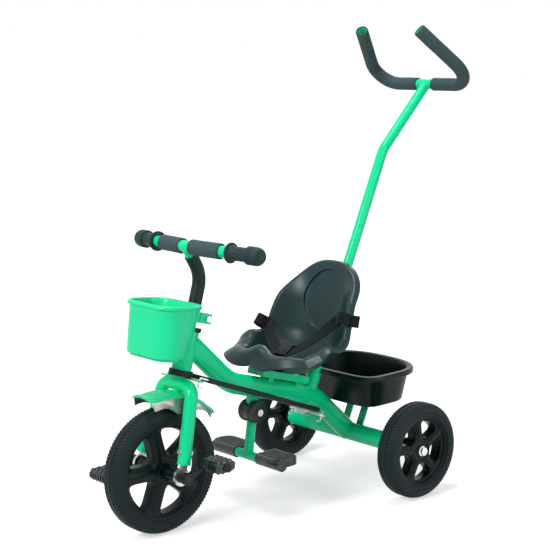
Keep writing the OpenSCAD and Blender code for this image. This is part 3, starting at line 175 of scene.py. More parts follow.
# one finish: colour with slow tone change, dust and edge wear, roughness change and a bump
def makeFinish(name, look):
    finish = bpy.data.materials.new(name)
    finish.use_nodes = True
    tree = finish.node_tree
    shader = tree.nodes["Principled BSDF"]
    shader.inputs["Specular IOR Level"].default_value = look.get("specular", 0.5)
    for label, v in look.get("set", {}).items():
        shader.inputs[label].default_value = v
    scales = {"Scale": look["grain"], "Patch Scale": look.get("patch", 9.0)}
    grain = addNode(tree, "Group", scales, node_tree=grainGroup).outputs
    wear = addNode(tree, "Group", {"Scale": 60.0}, node_tree=wearGroup).outputs
    dark = tuple(c * look["shade"] for c in look["colour"])
    colour = colourMix(tree, grain["Tone"], dark, look["colour"])
    if "dust" in look:
        dusty = mathNode(tree, "MULTIPLY", wear["Dust"], look["dust"])
        colour = colourMix(tree, dusty, colour, look.get("dustColour", (0.45, 0.46, 0.45)))
    if "edge" in look:
        rubbed = mathNode(tree, "MULTIPLY", wear["Edge"], look["edge"])
        colour = colourMix(tree, rubbed, colour, look["edgeColour"])
    height = grain["Height"]
    if "weave" in look:
        cloth = addNode(tree, "Group", look["weave"], node_tree=weaveGroup).outputs
        colour = colourMix(tree, cloth["Tone"], tuple(c * 0.55 for c in look["colour"]), colour)
        height = cloth["Height"]
    rough = rangeNode(tree, grain["Tone"], 0.0, 1.0, *look["rough"], kind="LINEAR")
    raised = {"Strength": look["bump"], "Distance": look.get("depth", 0.0004), "Height": height}
    bump = addNode(tree, "Bump", raised).outputs["Normal"]
    for label, socket in (("Base Color", colour), ("Roughness", rough), ("Normal", bump)):
        tree.links.new(socket, shader.inputs[label])
    return finish


looks = {
    "framePaint": dict(colour=(0.001, 0.72, 0.31), shade=0.94, rough=(0.2, 0.27), grain=420, bump=0.03,
                       edge=0.2, edgeColour=(0.06, 0.8, 0.46), dust=0.02, specular=0.15,
                       set={"Coat Weight": 0.08, "Coat Roughness": 0.05}),
    "greenPlastic": dict(colour=(0.014, 0.74, 0.34), shade=0.95, rough=(0.26, 0.34), grain=600, bump=0.03,
                         dust=0.02, specular=0.2),
    "seatPlastic": dict(colour=(0.005, 0.029, 0.032), shade=0.85, rough=(0.3, 0.36), grain=1500,
                        bump=0.06, dust=0.02, specular=0.3),
    "blackPlastic": dict(colour=(0.0035, 0.0105, 0.0115), shade=0.8, rough=(0.34, 0.44), grain=1100,
                         bump=0.12, edge=0.3, edgeColour=(0.02, 0.036, 0.038), dust=0.02, specular=0.2),
    "rimPlastic": dict(colour=(0.002, 0.0085, 0.0095), shade=0.8, rough=(0.26, 0.34), grain=1100,
                       bump=0.08, dust=0.01, specular=0.13),
    "treadPlastic": dict(colour=(0.003, 0.011, 0.0125), shade=0.8, rough=(0.2, 0.28), grain=1100,
                         bump=0.12, edge=0.5, edgeColour=(0.035, 0.06, 0.064), dust=0.02, specular=0.5),
    "drumPlastic": dict(colour=(0.006, 0.012, 0.0125), shade=0.85, rough=(0.16, 0.24), grain=900,
                        bump=0.05, specular=0.35),
    "basketPlastic": dict(colour=(0.0015, 0.009, 0.0085), shade=0.85, rough=(0.27, 0.34), grain=1000,
                          bump=0.07, dust=0.02, specular=0.16),
    "tyreRubber": dict(colour=(0.01, 0.019, 0.0215), shade=0.75, rough=(0.5, 0.64), grain=800, bump=0.2,
                       dust=0.05, dustColour=(0.13, 0.14, 0.14), edge=0.4, edgeColour=(0.04, 0.05, 0.053),
                       specular=0.15),
    "gripRubber": dict(colour=(0.016, 0.036, 0.04), shade=0.8, rough=(0.46, 0.56), grain=1400, bump=0.18,
                       edge=0.3, edgeColour=(0.05, 0.075, 0.08), specular=0.18),
    "foam": dict(colour=(0.05, 0.085, 0.092), shade=0.85, rough=(0.82, 0.92), grain=1300, bump=0.5,
                 depth=0.0006, specular=0.12, set={"Sheen Weight": 0.05, "Sheen Roughness": 0.6}),
    "sleeveFoam": dict(colour=(0.003, 0.016, 0.0145), shade=0.75, rough=(0.42, 0.52), grain=1000, bump=0.3,
                       depth=0.0005, specular=0.25),
    "zinc": dict(colour=(0.62, 0.64, 0.66), shade=0.82, rough=(0.26, 0.4), grain=700, bump=0.06, patch=60,
                 set={"Metallic": 1.0}),
    "brightMetal": dict(colour=(0.84, 0.85, 0.86), shade=0.9, rough=(0.1, 0.18), grain=900, bump=0.03,
                        patch=40, set={"Metallic": 1.0}),
    "silverSkirt": dict(colour=(0.42, 0.41, 0.405), shade=0.55, rough=(0.26, 0.36), grain=500, bump=0.05,
                        patch=30, set={"Metallic": 0.5}),
    "webbing": dict(colour=(0.003, 0.008, 0.009), shade=0.8, rough=(0.6, 0.75), grain=900, bump=0.7,
                    weave={"Along": 3.6, "Across": 5.2}, depth=0.0005, specular=0.15,
                    set={"Sheen Weight": 0.08, "Sheen Roughness": 0.4}),
}
finishes = {name: makeFinish(name, look) for name, look in looks.items()}
print("finishes made:", len(finishes))

nodeFinish = {
    "framePaint": "main_beam head_tube rear_axle_tube pusher_socket seat_channel footrest_lug "
                  "basket_struts fork steering_arm stem_clamp stem handlebar push_bar push_handle "
                  "footrest_post",
    "greenPlastic": "front_basket mudguard",
    "seatPlastic": "seat_shell",
    "blackPlastic": "lower_cup upper_cup axle_plugs dropout_bushes crank_left crank_right belt_buckle "
                    "rod_sleeve_left rod_sleeve_right",
    "treadPlastic": "pedal_left pedal_right foot_pads",
    "rimPlastic": "front_rim rear_rim_left rear_rim_right",
    "drumPlastic": "footrest_drum crank_axle",
    "basketPlastic": "rear_basket",
    "tyreRubber": "front_tyre rear_tyre_left rear_tyre_right",
    "gripRubber": "grip_left grip_right",
    "foam": "bar_foam handle_foam",
    "sleeveFoam": "stem_sleeve",
    "zinc": "frame_bolts rear_axle footrest_bolt dropouts fork_bolts locknut clamp_bolt basket_screws "
            "pusher_lever lever_nut tie_rod_left tie_rod_right",
    "brightMetal": "axle_nuts",
    "silverSkirt": "mudguard_skirts",
    "webbing": "belt_left belt_right",
}
for name, members in nodeFinish.items():
    for node in members.split():
        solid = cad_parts[node].data
        solid.materials.clear()
        solid.materials.append(finishes[name])


# mesh helpers

def gridFaces(rows, cols):
    faces = []
    for r in range(rows - 1):
        for c in range(cols):
            d = (c + 1) % cols
            faces.append((r * cols + c, r * cols + d, (r + 1) * cols + d, (r + 1) * cols + c))
    return faces


def addObject(name, data):
    made = bpy.data.objects.new(name, data)
    scene.collection.objects.link(made)
    return made


# object from a form, which is a pair of points and faces
def meshPiece(name, form, finish, body, stands=(), sharp=40):
    mesh = bpy.data.meshes.new(name)
    mesh.from_pydata([tuple(v) for v in form[0]], [], form[1])
    shape = bmesh.new()
    shape.from_mesh(mesh)
    bmesh.ops.recalc_face_normals(shape, faces=shape.faces)
    shape.to_mesh(mesh)
    shape.free()
    mesh.polygons.foreach_set("use_smooth", [True] * len(mesh.polygons))
    mesh.set_sharp_from_angle(angle=math.radians(sharp))
    mesh.materials.append(finishes[finish])
    piece = addObject(name, mesh)
    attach(piece, body)
    if stands:
        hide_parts(*stands)
    return piece


# closed shell through rings of points, with both ends filled by a fan
def ringShell(rings):
    cols = len(rings[0])
    verts = [p for ring in rings for p in ring]
    faces = gridFaces(len(rings), cols)
    for ring, first in ((rings[0], 0), (rings[-1], (len(rings) - 1) * cols)):
        middle = sum(ring, Vector()) / cols
        verts.append(middle)
        for c in range(cols):
            faces.append((first + c, first + (c + 1) % cols, len(verts) - 1))
    return verts, faces


# closed loop of rings, the last joined to the first
def closedTube(rings):
    cols = len(rings[0])
    last = (len(rings) - 1) * cols
    faces = gridFaces(len(rings), cols)
    faces += [(last + c, last + (c + 1) % cols, (c + 1) % cols, c) for c in range(cols)]
    return [p for ring in rings for p in ring], faces


# rings of a profile of radius and side, turned about the second axis of a frame
def lathed(profile, put, count):
    turns = turnsOf(count)
    return [[put(a * math.cos(t), y, a * math.sin(t)) for t in turns] for a, y in profile]


# several forms joined into one, with the points put in a frame
def joined(forms, put=None):
    verts, faces = [], []
    for points, sides in forms:
        base = len(verts)
        verts += [put(*p) for p in points] if put else points
        faces += [tuple(i + base for i in f) for f in sides]
    return verts, faces


# camera at the photo's angle

cameraSpec = Sizes(azimuth=138.667, elevation=10.059, roll=-1.159, distance=2.9143,
                   target=(0.005612, 0.0, 0.4584), lens=91.097)


def makeCamera(spec):
    a, e = math.radians(spec.azimuth), math.radians(spec.elevation)
    back = Vector((math.sin(a) * math.cos(e), -math.cos(a) * math.cos(e), math.sin(e)))
    right = (-back).cross(zAxis).normalized()
    up = right.cross(-back)
    r = math.radians(spec.roll)
    turnedRight = right * math.cos(r) + up * math.sin(r)
    turnedUp = up * math.cos(r) - right * math.sin(r)
    data = bpy.data.cameras.new("photoCamera")
    data.lens, data.sensor_width = spec.lens, 36.0
    data.clip_start, data.clip_end = 0.05, 100.0
    camera = addObject("photoCamera", data)
    spot = Vector(spec.target) + back * spec.distance
    pose = Matrix((turnedRight, turnedUp, back)).transposed().to_4x4()
    pose.translation = spot
    camera.matrix_world = pose
    scene.camera = camera
    return back, turnedRight


cameraBack, cameraRight = makeCamera(cameraSpec)
print("camera set")

# floor, world and lamps

floorSpec = Sizes(half=14.0, albedo=0.7, glow=0.54, farGlow=0.4, near=0.7, far=2.6)
worldLight = Sizes(strength=0.24, seen=1.0)


def makeFloor(spec):
    h = spec.half
    mesh = bpy.data.meshes.new("studioFloor")
    mesh.from_pydata([(-h, -h, 0), (h, -h, 0), (h, h, 0), (-h, h, 0)], [], [(0, 1, 2, 3)])
    floor = addObject("studioFloor", mesh)
    paper = bpy.data.materials.new("paleFloor")
    paper.use_nodes = True
    tree = paper.node_tree
    tree.nodes.remove(tree.nodes["Principled BSDF"])
    matt = addNode(tree, "BsdfDiffuse", {"Color": (spec.albedo,) * 3 + (1.0,)})
    path = addNode(tree, "LightPath", {}).outputs
    seen = mathNode(tree, "MAXIMUM", path["Is Camera Ray"], path["Is Glossy Ray"])
    spot = addNode(tree, "NewGeometry", {}).outputs["Position"]
    reach = addNode(tree, "VectorMath", {0: spot}, operation="LENGTH").outputs["Value"]
    far = rangeNode(tree, reach, spec.near, spec.far, spec.glow, spec.glow + spec.farGlow)
    glow = addNode(tree, "Emission", {"Strength": mathNode(tree, "MULTIPLY", seen, far)})
    both = addNode(tree, "AddShader", {0: matt.outputs[0], 1: glow.outputs[0]})
    tree.links.new(both.outputs[0], tree.nodes["Material Output"].inputs["Surface"])
    mesh.materials.append(paper)


def makeWorld(spec):
    world = bpy.data.worlds.new("whiteStudio")
    scene.world = world
    world.use_nodes = True
    tree = world.node_tree
    sky = tree.nodes["Background"]
    sky.inputs["Color"].default_value = (1.0, 1.0, 1.0, 1.0)
    path = addNode(tree, "LightPath", {}).outputs
    seen = mathNode(tree, "MAXIMUM", path["Is Camera Ray"], path["Is Transmission Ray"])
    seen = mathNode(tree, "MAXIMUM", seen, path["Is Glossy Ray"])
    extra = mathNode(tree, "MULTIPLY", seen, spec.seen - spec.strength)
    tree.links.new(mathNode(tree, "ADD", extra, spec.strength), sky.inputs["Strength"])


lamps = {
    "keyBox": Sizes(left=2.0, back=1.8, up=1.6, size=1.0, watts=58),
    "fillBox": Sizes(left=-1.7, back=2.2, up=1.3, size=1.1, watts=17),
    "topBox": Sizes(left=0.2, back=0.1, up=2.4, size=1.2, watts=34),
    "sideBox": Sizes(left=-2.1, back=0.8, up=-0.1, size=0.9, watts=9),
    "rearBox": Sizes(left=-0.8, back=-2.3, up=1.6, size=1.0, watts=16),
}


def makeLamp(name, spec):
    aim = Vector((0, 0, 0.42))
    flatBack = Vector((cameraBack.x, cameraBack.y, 0)).normalized()
    spot = aim - cameraRight * spec.left + flatBack * spec.back + Vector((0, 0, spec.up))
    data = bpy.data.lights.new(name, "AREA")
    data.shape, data.size, data.energy = "DISK", spec.size, spec.watts
    lamp = addObject(name, data)
    lamp.location = spot
    lamp.rotation_mode = "QUATERNION"
    lamp.rotation_quaternion = (aim - spot).to_track_quat("-Z", "Y")


makeFloor(floorSpec)
makeWorld(worldLight)
for name, spec in lamps.items():
    makeLamp(name, spec)
print("studio lit by", len(lamps), "lamps")

# wheels: tyres with cut tread, on spoked rims

rearWheel = {"r": 100, "rimR": 74, "w": 48, "phase": 11, "spoke": 20, "hub": (-25.7, 14.5), "bore": 5.06}
wheels = [
    Sizes(tread="frontTread", tyre="front_tyre", web="frontRimWeb", rim="front_rim", body="front_wheel",
          centre=frontAxle, side=1, r=125, rimR=97, w=46, phase=3, spoke=31, hub=(-61.2, 61.2), bore=6.02),
    Sizes(tread="rearTreadLeft", tyre="rear_tyre_left", web="rearRimWebLeft", rim="rear_rim_left",
          body="rear_wheel_left", centre=rearAxleLeft, side=1, **rearWheel),
    Sizes(tread="rearTreadRight", tyre="rear_tyre_right", web="rearRimWebRight", rim="rear_rim_right",
          body="rear_wheel_right", centre=rearAxleRight, side=-1, **rearWheel),
]
tread = Sizes(pitch=7.4, depth=1.5, round=15, slant=0.9, centreRib=4.0, groove=1.6, steps=8, cutFrom=28,
              cutFade=10, rimGap=0.1)


# half of the tyre's section from the rim to the middle of the crown: radius, side, share of tread depth
def tyreHalf(spec):
    r, w, rim, rd = spec.r, spec.w / 2, spec.rimR + tread.rimGap, tread.round
    pts = [(rim, w - 3, 0), (rim + 0.8, w - 1.2, 0), (rim + 2.5, w - 0.4, 0), (rim + 4.5, w - 0.2, 0),
           (rim + 5.2, w - 0.9, 0), (rim + 6.4, w - 0.9, 0), (rim + 7.0, w - 0.1, 0), (r - rd - 1, w, 0)]
    for i in range(tread.steps + 1):
        a = math.radians(90 * i / tread.steps)
        cut = smooth((math.degrees(a) - tread.cutFrom) / tread.cutFade)
        pts.append((r - rd + rd * math.sin(a), w - rd + rd * math.cos(a), cut))
    rib, bed = tread.centreRib, r - tread.groove
    pts += [(r, rib + 2.4, 1), (r, rib + 1.6, 0.9), (bed, rib + 1.2, 0), (bed, rib + 0.2, 0), (r, rib, 0),
            (r, rib * 0.4, 0)]
    return pts


def makeTyre(spec):
    half = tyreHalf(spec)
    section = half + [(a, -y, k) for a, y, k in reversed(half)]
    count = round(2 * math.pi * spec.r / tread.pitch)
    step = 2 * math.pi / count
    marks = [(0.0, 1), (0.36, 1), (0.5, 0), (0.86, 0)]  # share of a pitch, and whether it is cut
    angles = [((k + f) * step, cut) for k in range(count) for f, cut in marks]
    put = around(spec.centre)
    rings = []
    for a, y, k in section:
        lean = tread.slant * step * abs(y) / (spec.w / 2)
        polar = [(a - tread.depth * k * cut, t + lean) for t, cut in angles]
        rings.append([put(radius * math.cos(turn), y, radius * math.sin(turn)) for radius, turn in polar])
    form = closedTube(rings)
    meshPiece(spec.tread, form, "tyreRubber", spec.body, [spec.tyre], sharp=32)


for spec in wheels:
    makeTyre(spec)
print("tyres cut:", len(wheels))

# spoked rims: a dished web with rounded windows between a flanged ring and a hub

rimShape = Sizes(spokes=5, wall=7, inset=5, web=32, hubR=23, hubW=29, sunk=4.5, power=5, windowOut=5,
                 windowIn=4, hubLap=2, neck=0.62, rays=64, turns=96)


# distances along a ray from a window's middle to the four edges of a sector
def sectorReach(mid, angle, outer, inner, spoke):
    half = math.pi / rimShape.spokes
    c, s = math.cos(angle), math.sin(angle)
    reach = [math.sqrt(outer ** 2 - (mid * s) ** 2) - mid * c]
    room = inner ** 2 - (mid * s) ** 2
    if c < 0 and room > 0:
        reach.append(-mid * c - math.sqrt(room))
    for side in (1, -1):
        lean = side * s * math.cos(half) - c * math.sin(half)
        if lean > 1e-6:
            reach.append((mid * math.sin(half) - spoke / 2) / lean)
    return reach


# rays at even turns, and at the corners of the sector
def sectorRays(mid, outer, inner):
    half = math.pi / rimShape.spokes
    rays = [2 * math.pi * (k + 0.5) / rimShape.rays for k in range(rimShape.rays)]
    for radius in (outer, inner):
        corner = math.atan2(radius * math.sin(half), radius * math.cos(half) - mid)
        rays += [corner, 2 * math.pi - corner]
    return sorted(rays)


def makeRim(spec):
    g, r = rimShape, spec.rimR
    parts = []
    high, sunk, n = g.web / 2, g.sunk, g.power
    outer, inner = r - g.wall / 2, g.hubR - g.hubLap
    windowOut, windowIn = r - g.wall - g.windowOut, g.hubR + g.windowIn
    mid = (r - g.wall + g.hubR) / 2
    face = [(1, high), (0.75, high), (0.5, high - 0.25 * sunk), (0.28, high - 0.7 * sunk),
            (0.12, high - 0.95 * sunk), (0.04, high - sunk), (0.012, high - sunk - 0.4),
            (0, high - sunk - 1.4)]
    loop = face + [(-0.05, 0)] + [(k, -y) for k, y in reversed(face)]
    rays = sectorRays(mid, outer, inner)
    put = around(spec.centre, spec.side)
    for sector in range(g.spokes):
        ct, st = cosSin(spec.phase + (sector + 0.5) * 360 / g.spokes)
        rings = []
        for k, y in loop:
            ring = []
            for ray in rays:
                edge = min(sectorReach(mid, ray, outer, inner, 0))
                near = sectorReach(mid, ray, windowOut, windowIn, spec.spoke)
                window = sum(t ** -n for t in near) ** (-1 / n)
                t = mixed(window, edge, k) if k >= 0 else window * (1 + k)
                x, z = mid + t * math.cos(ray), t * math.sin(ray)
                ring.append(put(x * ct - z * st, y, x * st + z * ct))
            rings.append(ring)
        parts.append(closedTube(rings))

    bed, half = r - g.wall, spec.w / 2 - g.inset
    flange = [(r, half + 2), (r - 1.8, half + 2), (r - 2.8, half + 1.4), (r - 3.2, half),
              (bed + 0.8, half - 0.4), (bed, half - 1.6), (bed - 0.4, high)]
    flange += [(a, -y) for a, y in reversed(flange)]
    low, top = spec.hub
    neck, hubHalf = g.hubR * g.neck, g.hubW / 2
    hub = [(spec.bore, top), (neck - 1, top), (neck, top - 1)]
    if top > hubHalf + 2:
        hub += [(neck, hubHalf + 1.5), (neck + 1.2, hubHalf)]
    hub += [(g.hubR - 1.4, hubHalf - 0.1), (g.hubR, hubHalf - 1.5), (g.hubR, 1.5 - hubHalf),
            (g.hubR - 1.4, 0.1 - hubHalf), (neck + 1.2, -hubHalf), (neck, -hubHalf - 1.5),
            (neck, low + 1), (neck - 1, low), (spec.bore, low)]
    parts += [closedTube(lathed(profile, put, g.turns)) for profile in (flange, hub)]
    meshPiece(spec.web, joined(parts), "rimPlastic", spec.body, [spec.rim], sharp=38)


for spec in wheels:
    makeRim(spec)
print("rims moulded:", len(wheels))

# bucket seat, in the beam's own frame

seat = Sizes(front=169, plane=42.5, panLen=63, bend=90, backLen=144, backLean=-3.5, half=110, wall=78,
             panFlat=0.2, frontRise=18, frontFade=40, hump=27, humpHalf=38, taper=0.07, taperLen=104, lip=9,
             roll=14, rollFrom=40, rollFade=180, drop=8, chin=1.7, chinFade=110, thick=4, topPower=2.5,
             frontPower=2.8, panelAt=277, panelHigh=66, panelWide=60, panelDeep=4.5, turns=216)
wallShares = Sizes(start=0.72, gain=0.2, gainLen=110, sink=0.35, sinkFrom=60, sinkLen=150, fade=0.43,
                   fadeFrom=270)
seatArc = 90 - seat.backLean
arcLen = seat.bend * math.radians(seatArc)
seatLen = seat.panLen + arcLen + seat.backLen


def dirAt(deg):
    return Vector(cosSin(deg))


def seatHead(a):
    turned = math.degrees((a - seat.panLen) / seat.bend)
    return 180 - min(seatArc, max(0.0, turned))


# middle line of the seat: pan, bend and backrest
def seatMid(a):
    start = Vector((seat.front, seat.plane))
    if a < seat.panLen:
        return start + a * dirAt(180)
    centre = start + seat.panLen * dirAt(180) + seat.bend * dirAt(90)
    past = max(0.0, a - seat.panLen - arcLen)
    return centre - seat.bend * dirAt(seatHead(a) - 90) + past * dirAt(180 - seatArc)


def wallAt(a):
    w = wallShares
    share = w.start + w.gain * smooth(a / w.gainLen)
    share -= w.sink * smooth((a - w.sinkFrom) / w.sinkLen)
    share -= w.fade * smooth((a - w.fadeFrom) / (seatLen - w.fadeFrom))
    return seat.wall * share


def halfAt(a):
    return seat.half * (1 - seat.taper * (1 - smooth(a / seat.taperLen)))


# point of the upper face at a length from the front edge and a share of the half width
def seatPoint(a, v):
    b = halfAt(a) * v
    side = max(0.0, abs(v) - seat.panFlat) / (1 - seat.panFlat)
    front = seat.frontRise + seat.hump * math.exp(-(b / seat.humpHalf) ** 2)
    rise = wallAt(a) * side ** 2.1 + front * (1 - smooth(a / seat.frontFade))
    p = seatMid(a) + rise * dirAt(seatHead(a) - 90)
    return Vector((p.x, b, p.y))


def power(c, n):
    return math.copysign(abs(c) ** (2 / n), c)


def rimAt(th):
    c, s = cosSin(th)
    n = seat.topPower if c > 0 else seat.frontPower
    return seatLen / 2 * (1 + power(c, n)), power(s, n)


# spot on the ray from the oval panel's middle to the rim
def rayAt(share, th):
    ra, rv = rimAt(th)
    return mixed(seat.panelAt, ra, share), share * rv


def seatUp(a, v):
    along = seatPoint(a + 1, v) - seatPoint(a - 1, v)
    across = seatPoint(a, v + 0.01) - seatPoint(a, v - 0.01)
    return across.cross(along).normalized()


def panelShare(th):
    ra, rv = rimAt(th)
    high = (ra - seat.panelAt) / seat.panelHigh
    return 1 / math.hypot(high, rv * halfAt(seat.panelAt) / seat.panelWide)


def rimSide(th):
    return (seatPoint(*rimAt(th + 1.5)) - seatPoint(*rimAt(th - 1.5))).normalized()


# point on the rolled lip: out from its face, turned down over it, and dropped along the skirt
def lipPoint(th, out, turn, drop):
    rim = rimAt(th)
    up = seatUp(*rim)
    lipOut = up.cross(rimSide(th)).normalized()
    radius = seat.lip + seat.roll * (1 - smooth((rim[0] - seat.rollFrom) / seat.rollFade))
    drop *= 1 + seat.chin * (1 - smooth(rim[0] / seat.chinFade))
    t = math.radians(turn)
    turned = math.sin(t) * lipOut + math.cos(t) * up
    return seatPoint(*rim) - (radius + drop) * up + (radius + out) * turned


def makeSeat():
    turns = [360 * (k + 0.5) / seat.turns for k in range(seat.turns)]
    edge = [(0.06, 1), (0.3, 1), (0.55, 1), (0.78, 1), (0.9, 1), (0.962, 1), (0.972, 0.95), (0.98, 0.55),
            (0.988, 0.08), (0.998, 0.01), (1.03, 0)]
    outer = [k / 28 for k in range(1, 28)]
    lips = [(f, 0) for f in range(0, 91, 9)] + [(90, seat.drop * s) for s in (0.4, 0.75, 1.0)]
    rim = [seat.thick * s for s in (0, -0.25, -0.75, -1)]

    def face(share, th, sunk):
        spot = rayAt(share, th)
        return seatPoint(*spot) - sunk * seatUp(*spot)

    rings = [[face(s * panelShare(th), th, seat.panelDeep * d) for th in turns] for s, d in edge]
    last = edge[-1][0]
    rings += [[face(mixed(last * panelShare(th), 1, s), th, 0) for th in turns] for s in outer]
    rings += [[lipPoint(th, 0, f, d) for th in turns] for f, d in lips]
    for out, low in zip(rim[1:], (0.8, 0.8, 0)):
        rings.append([lipPoint(th, out, 90, seat.drop + low) for th in turns])
    rings += [[lipPoint(th, rim[-1], f, d) for th in turns] for f, d in reversed(lips[:-1])]
    for s in reversed(outer[::3]):
        rings.append([face(mixed(last * panelShare(th), 1, s), th, seat.thick) for th in turns])
    for s, d in reversed(edge[::2]):
        rings.append([face(s * panelShare(th), th, seat.thick + seat.panelDeep * d) for th in turns])
    form = ringShell([[onBeam(*p) for p in ring] for ring in rings])
    meshPiece("bucketSeat", form, "seatPlastic", "frame", ["seat_shell"], sharp=55)


makeSeat()
print("seat lofted")

# lap belt: two straps and a side release buckle

belt = Sizes(w=25, t=2.0, loop=((1.3, 90), (13, 86), (25, 70), (28, 56), (22, 40), (12, 18)), tail=14,
             sag=5, steps=9, leftTurn=73, rightTurn=87)
buckle = Sizes(u=108, n=84, tip=50, w=46, d=34, h=13, tail=12)


def catmull(points, steps):
    dense = []
    for i in range(len(points) - 1):
        a, b = points[max(0, i - 1)], points[i]
        c, d = points[i + 1], points[min(len(points) - 1, i + 2)]
        for k in range(steps):
            t = k / steps
            dense.append(0.5 * (2 * b + (c - a) * t + (2 * a - 5 * b + 4 * c - d) * t ** 2
                                + (3 * b - a - 3 * c + d) * t ** 3))
    return dense + [points[-1]]


def makeStrap(name, node, th, mirrored):
    c, s = cosSin(buckle.tip)
    buckleSide = Vector((-c, 0, s))
    end = Vector((buckle.u, buckle.w / 2, buckle.n))
    keys = [lipPoint(th, belt.t / 2 + 0.3, 90, seat.drop + belt.tail)]
    keys += [lipPoint(th, out, f, 0) for out, f in belt.loop]
    turns = [0.0] * len(keys)
    inner = keys[-1]
    for k in (0.15, 0.35, 0.55, 0.75, 0.9):
        dip = belt.sag * 4 * k * (1 - k)
        keys.append(inner.lerp(end, k) - Vector((0, 0, dip)))
        turns.append(k)
    keys += [end, end - Vector((0, buckle.tail, 0))]
    turns += [1.0, 1.0]
    line = catmull(keys, belt.steps)
    share = catmull([Vector((t, 0, 0)) for t in turns], belt.steps)
    lie = -rimSide(th)
    half, thin = belt.w / 2, belt.t / 2
    section = [(-half, 0), (-half + 0.5, 0.8), (-half + 2, 1), (-half / 2, 0.9), (0, 0.86), (half / 2, 0.9),
               (half - 2, 1), (half - 0.5, 0.8), (half, 0)]
    section += [(v, -h) for v, h in reversed(section[1:-1])]
    verts, across, along, run = [], [], [], 0.0
    for i, p in enumerate(line):
        ahead = (line[min(i + 1, len(line) - 1)] - line[max(i - 1, 0)]).normalized()
        side = lie.lerp(buckleSide, min(1, max(0, share[i].x)))
        side = (side - side.dot(ahead) * ahead).normalized()
        up = side.cross(ahead)
        run += (p - line[i - 1]).length if i else 0.0
        for v, h in section:
            q = p + side * v + up * (h * thin)
            verts.append(onBeam(q.x, -q.y if mirrored else q.y, q.z))
            across.append(v)
            along.append(run)
    cols = len(section)
    faces = gridFaces(len(line), cols)
    faces += [tuple(range(cols)), tuple((len(line) - 1) * cols + c for c in reversed(range(cols)))]
    piece = meshPiece(name, (verts, faces), "webbing", "frame", [node], sharp=50)
    layer = piece.data.uv_layers.new(name="strapMap")
    for loop in piece.data.loops:
        layer.data[loop.index].uv = (along[loop.vertex_index], across[loop.vertex_index])


makeStrap("beltStrapLeft", "belt_left", belt.leftTurn, False)
makeStrap("beltStrapRight", "belt_right", belt.rightTurn, True)


def roundedBlock(size, radius, rings=3):
    shape = bmesh.new()
    bmesh.ops.create_cube(shape, size=1.0, matrix=Matrix.Diagonal((*size, 1.0)))
    bmesh.ops.bevel(shape, geom=list(shape.edges), offset=radius, segments=rings, profile=0.5,
                    affect="EDGES")
    verts = [v.co.copy() for v in shape.verts]
    faces = [tuple(v.index for v in f.verts) for f in shape.faces]
    shape.free()
    return verts, faces


# studs with sloping sides standing on a flat face
def stud(centre, along, across, up, size, height, slope):
    half = (size[0] / 2, size[1] / 2)
    verts = []
    for lift, inset in ((-0.4, 0), (height * 0.75, slope * 0.7), (height, slope)):
        for a, b in ((-1, -1), (1, -1), (1, 1), (-1, 1)):
            corner = along * a * (half[0] - inset) + across * b * (half[1] - inset)
            verts.append(centre + corner + up * lift)
    return verts, gridFaces(3, 4) + [(3, 2, 1, 0), (8, 9, 10, 11)]


def makeBuckle():
    parts = []
    c, s = cosSin(buckle.tip)
    wide, out = Vector((c, 0, -s)), Vector((s, 0, c))
    middle = Vector((buckle.u, 0, buckle.n))

    def block(w, y, h, atW, atY, atH, radius):
        verts, faces = roundedBlock((w, y, h), radius)
        spots = [middle + wide * (v.x + atW) + Vector((0, v.y + atY, 0)) + out * (v.z + atH) for v in verts]
        parts.append((spots, faces))

    d, h = buckle.d, buckle.h
    block(d, 20, h, 0, 9, 0, 2.6)  # socket
    block(d - 9, 12, h - 1, 0, -4, 0, 2.0)  # waist between the prongs
    block(d - 16, 9, 1.6, 0, 9, h / 2, 0.7)  # thumb rest
    block(d, 8, h - 2, 0, -12, 0, 2.2)  # plug
    for side in (-1, 1):
        block(4, 16, h - 5, side * (d / 2 - 3.2), -4, 0, 1.4)  # prongs
        block(3.5, 7, h - 4, side * (d / 2 - 1.75), -18, 0, 1.2)  # plug's strap loop
        block(3.5, 6, h - 4, side * (d / 2 - 1.75), 20.5, 0, 1.2)
    for y in (-20.5, 22):
        block(d, 3.2, 5, 0, y, -0.5, 1.5)  # strap bars
    for k in range(4):
        block(d - 14, 1.2, 1.2, 0, -14.6 + 1.9 * k, h / 2 - 1, 0.4)  # finger ribs
    form = joined(parts, onBeam)
    meshPiece("beltBuckle", form, "blackPlastic", "frame", ["belt_buckle"])


makeBuckle()
print("belt laid")

# foam and rubber on the bars


def filletPath(a, b, c, radius, count=28):
    into, away = (b - a).normalized(), (c - b).normalized()
    turn = into.angle(away)
    reach = radius * math.tan(turn / 2)
    centre = b + (away - into).normalized() * (radius / math.cos(turn / 2))
    out = (b - into * reach - centre).normalized()
    arc = []
    for k in range(count + 1):
        t = turn * k / count
        arc.append(centre + radius * (out * math.cos(t) + into * math.sin(t)))
    return [a] + arc + [c]


# place and heading at a distance along a line of points
def walk(line, distance):
    left = distance
    for i in range(len(line) - 1):
        step = line[i + 1] - line[i]
        if left <= step.length or i == len(line) - 2:
            return line[i] + step.normalized() * left, step.normalized()
        left -= step.length


def lineLength(line):
    return sum((b - a).length for a, b in zip(line, line[1:]))


def plainRound(d, r, t):
    return r


# rings round a flat line, at pairs of distance and radius, in metres
def sweepRings(line, flatNormal, stations, sides, shape=plainRound):
    rings = []
    for d, r in stations:
        spot, heading = walk(line, d)
        back, ahead = walk(line, max(0.0, d - 0.003))[1], walk(line, min(lineLength(line), d + 0.003))[1]
        heading = (back + heading + ahead).normalized()
        out = flatNormal.cross(heading).normalized()
        rings.append([spot + (out * math.cos(t) + flatNormal * math.sin(t)) * shape(d, r, t)
                      for t in turnsOf(sides)])
    return rings


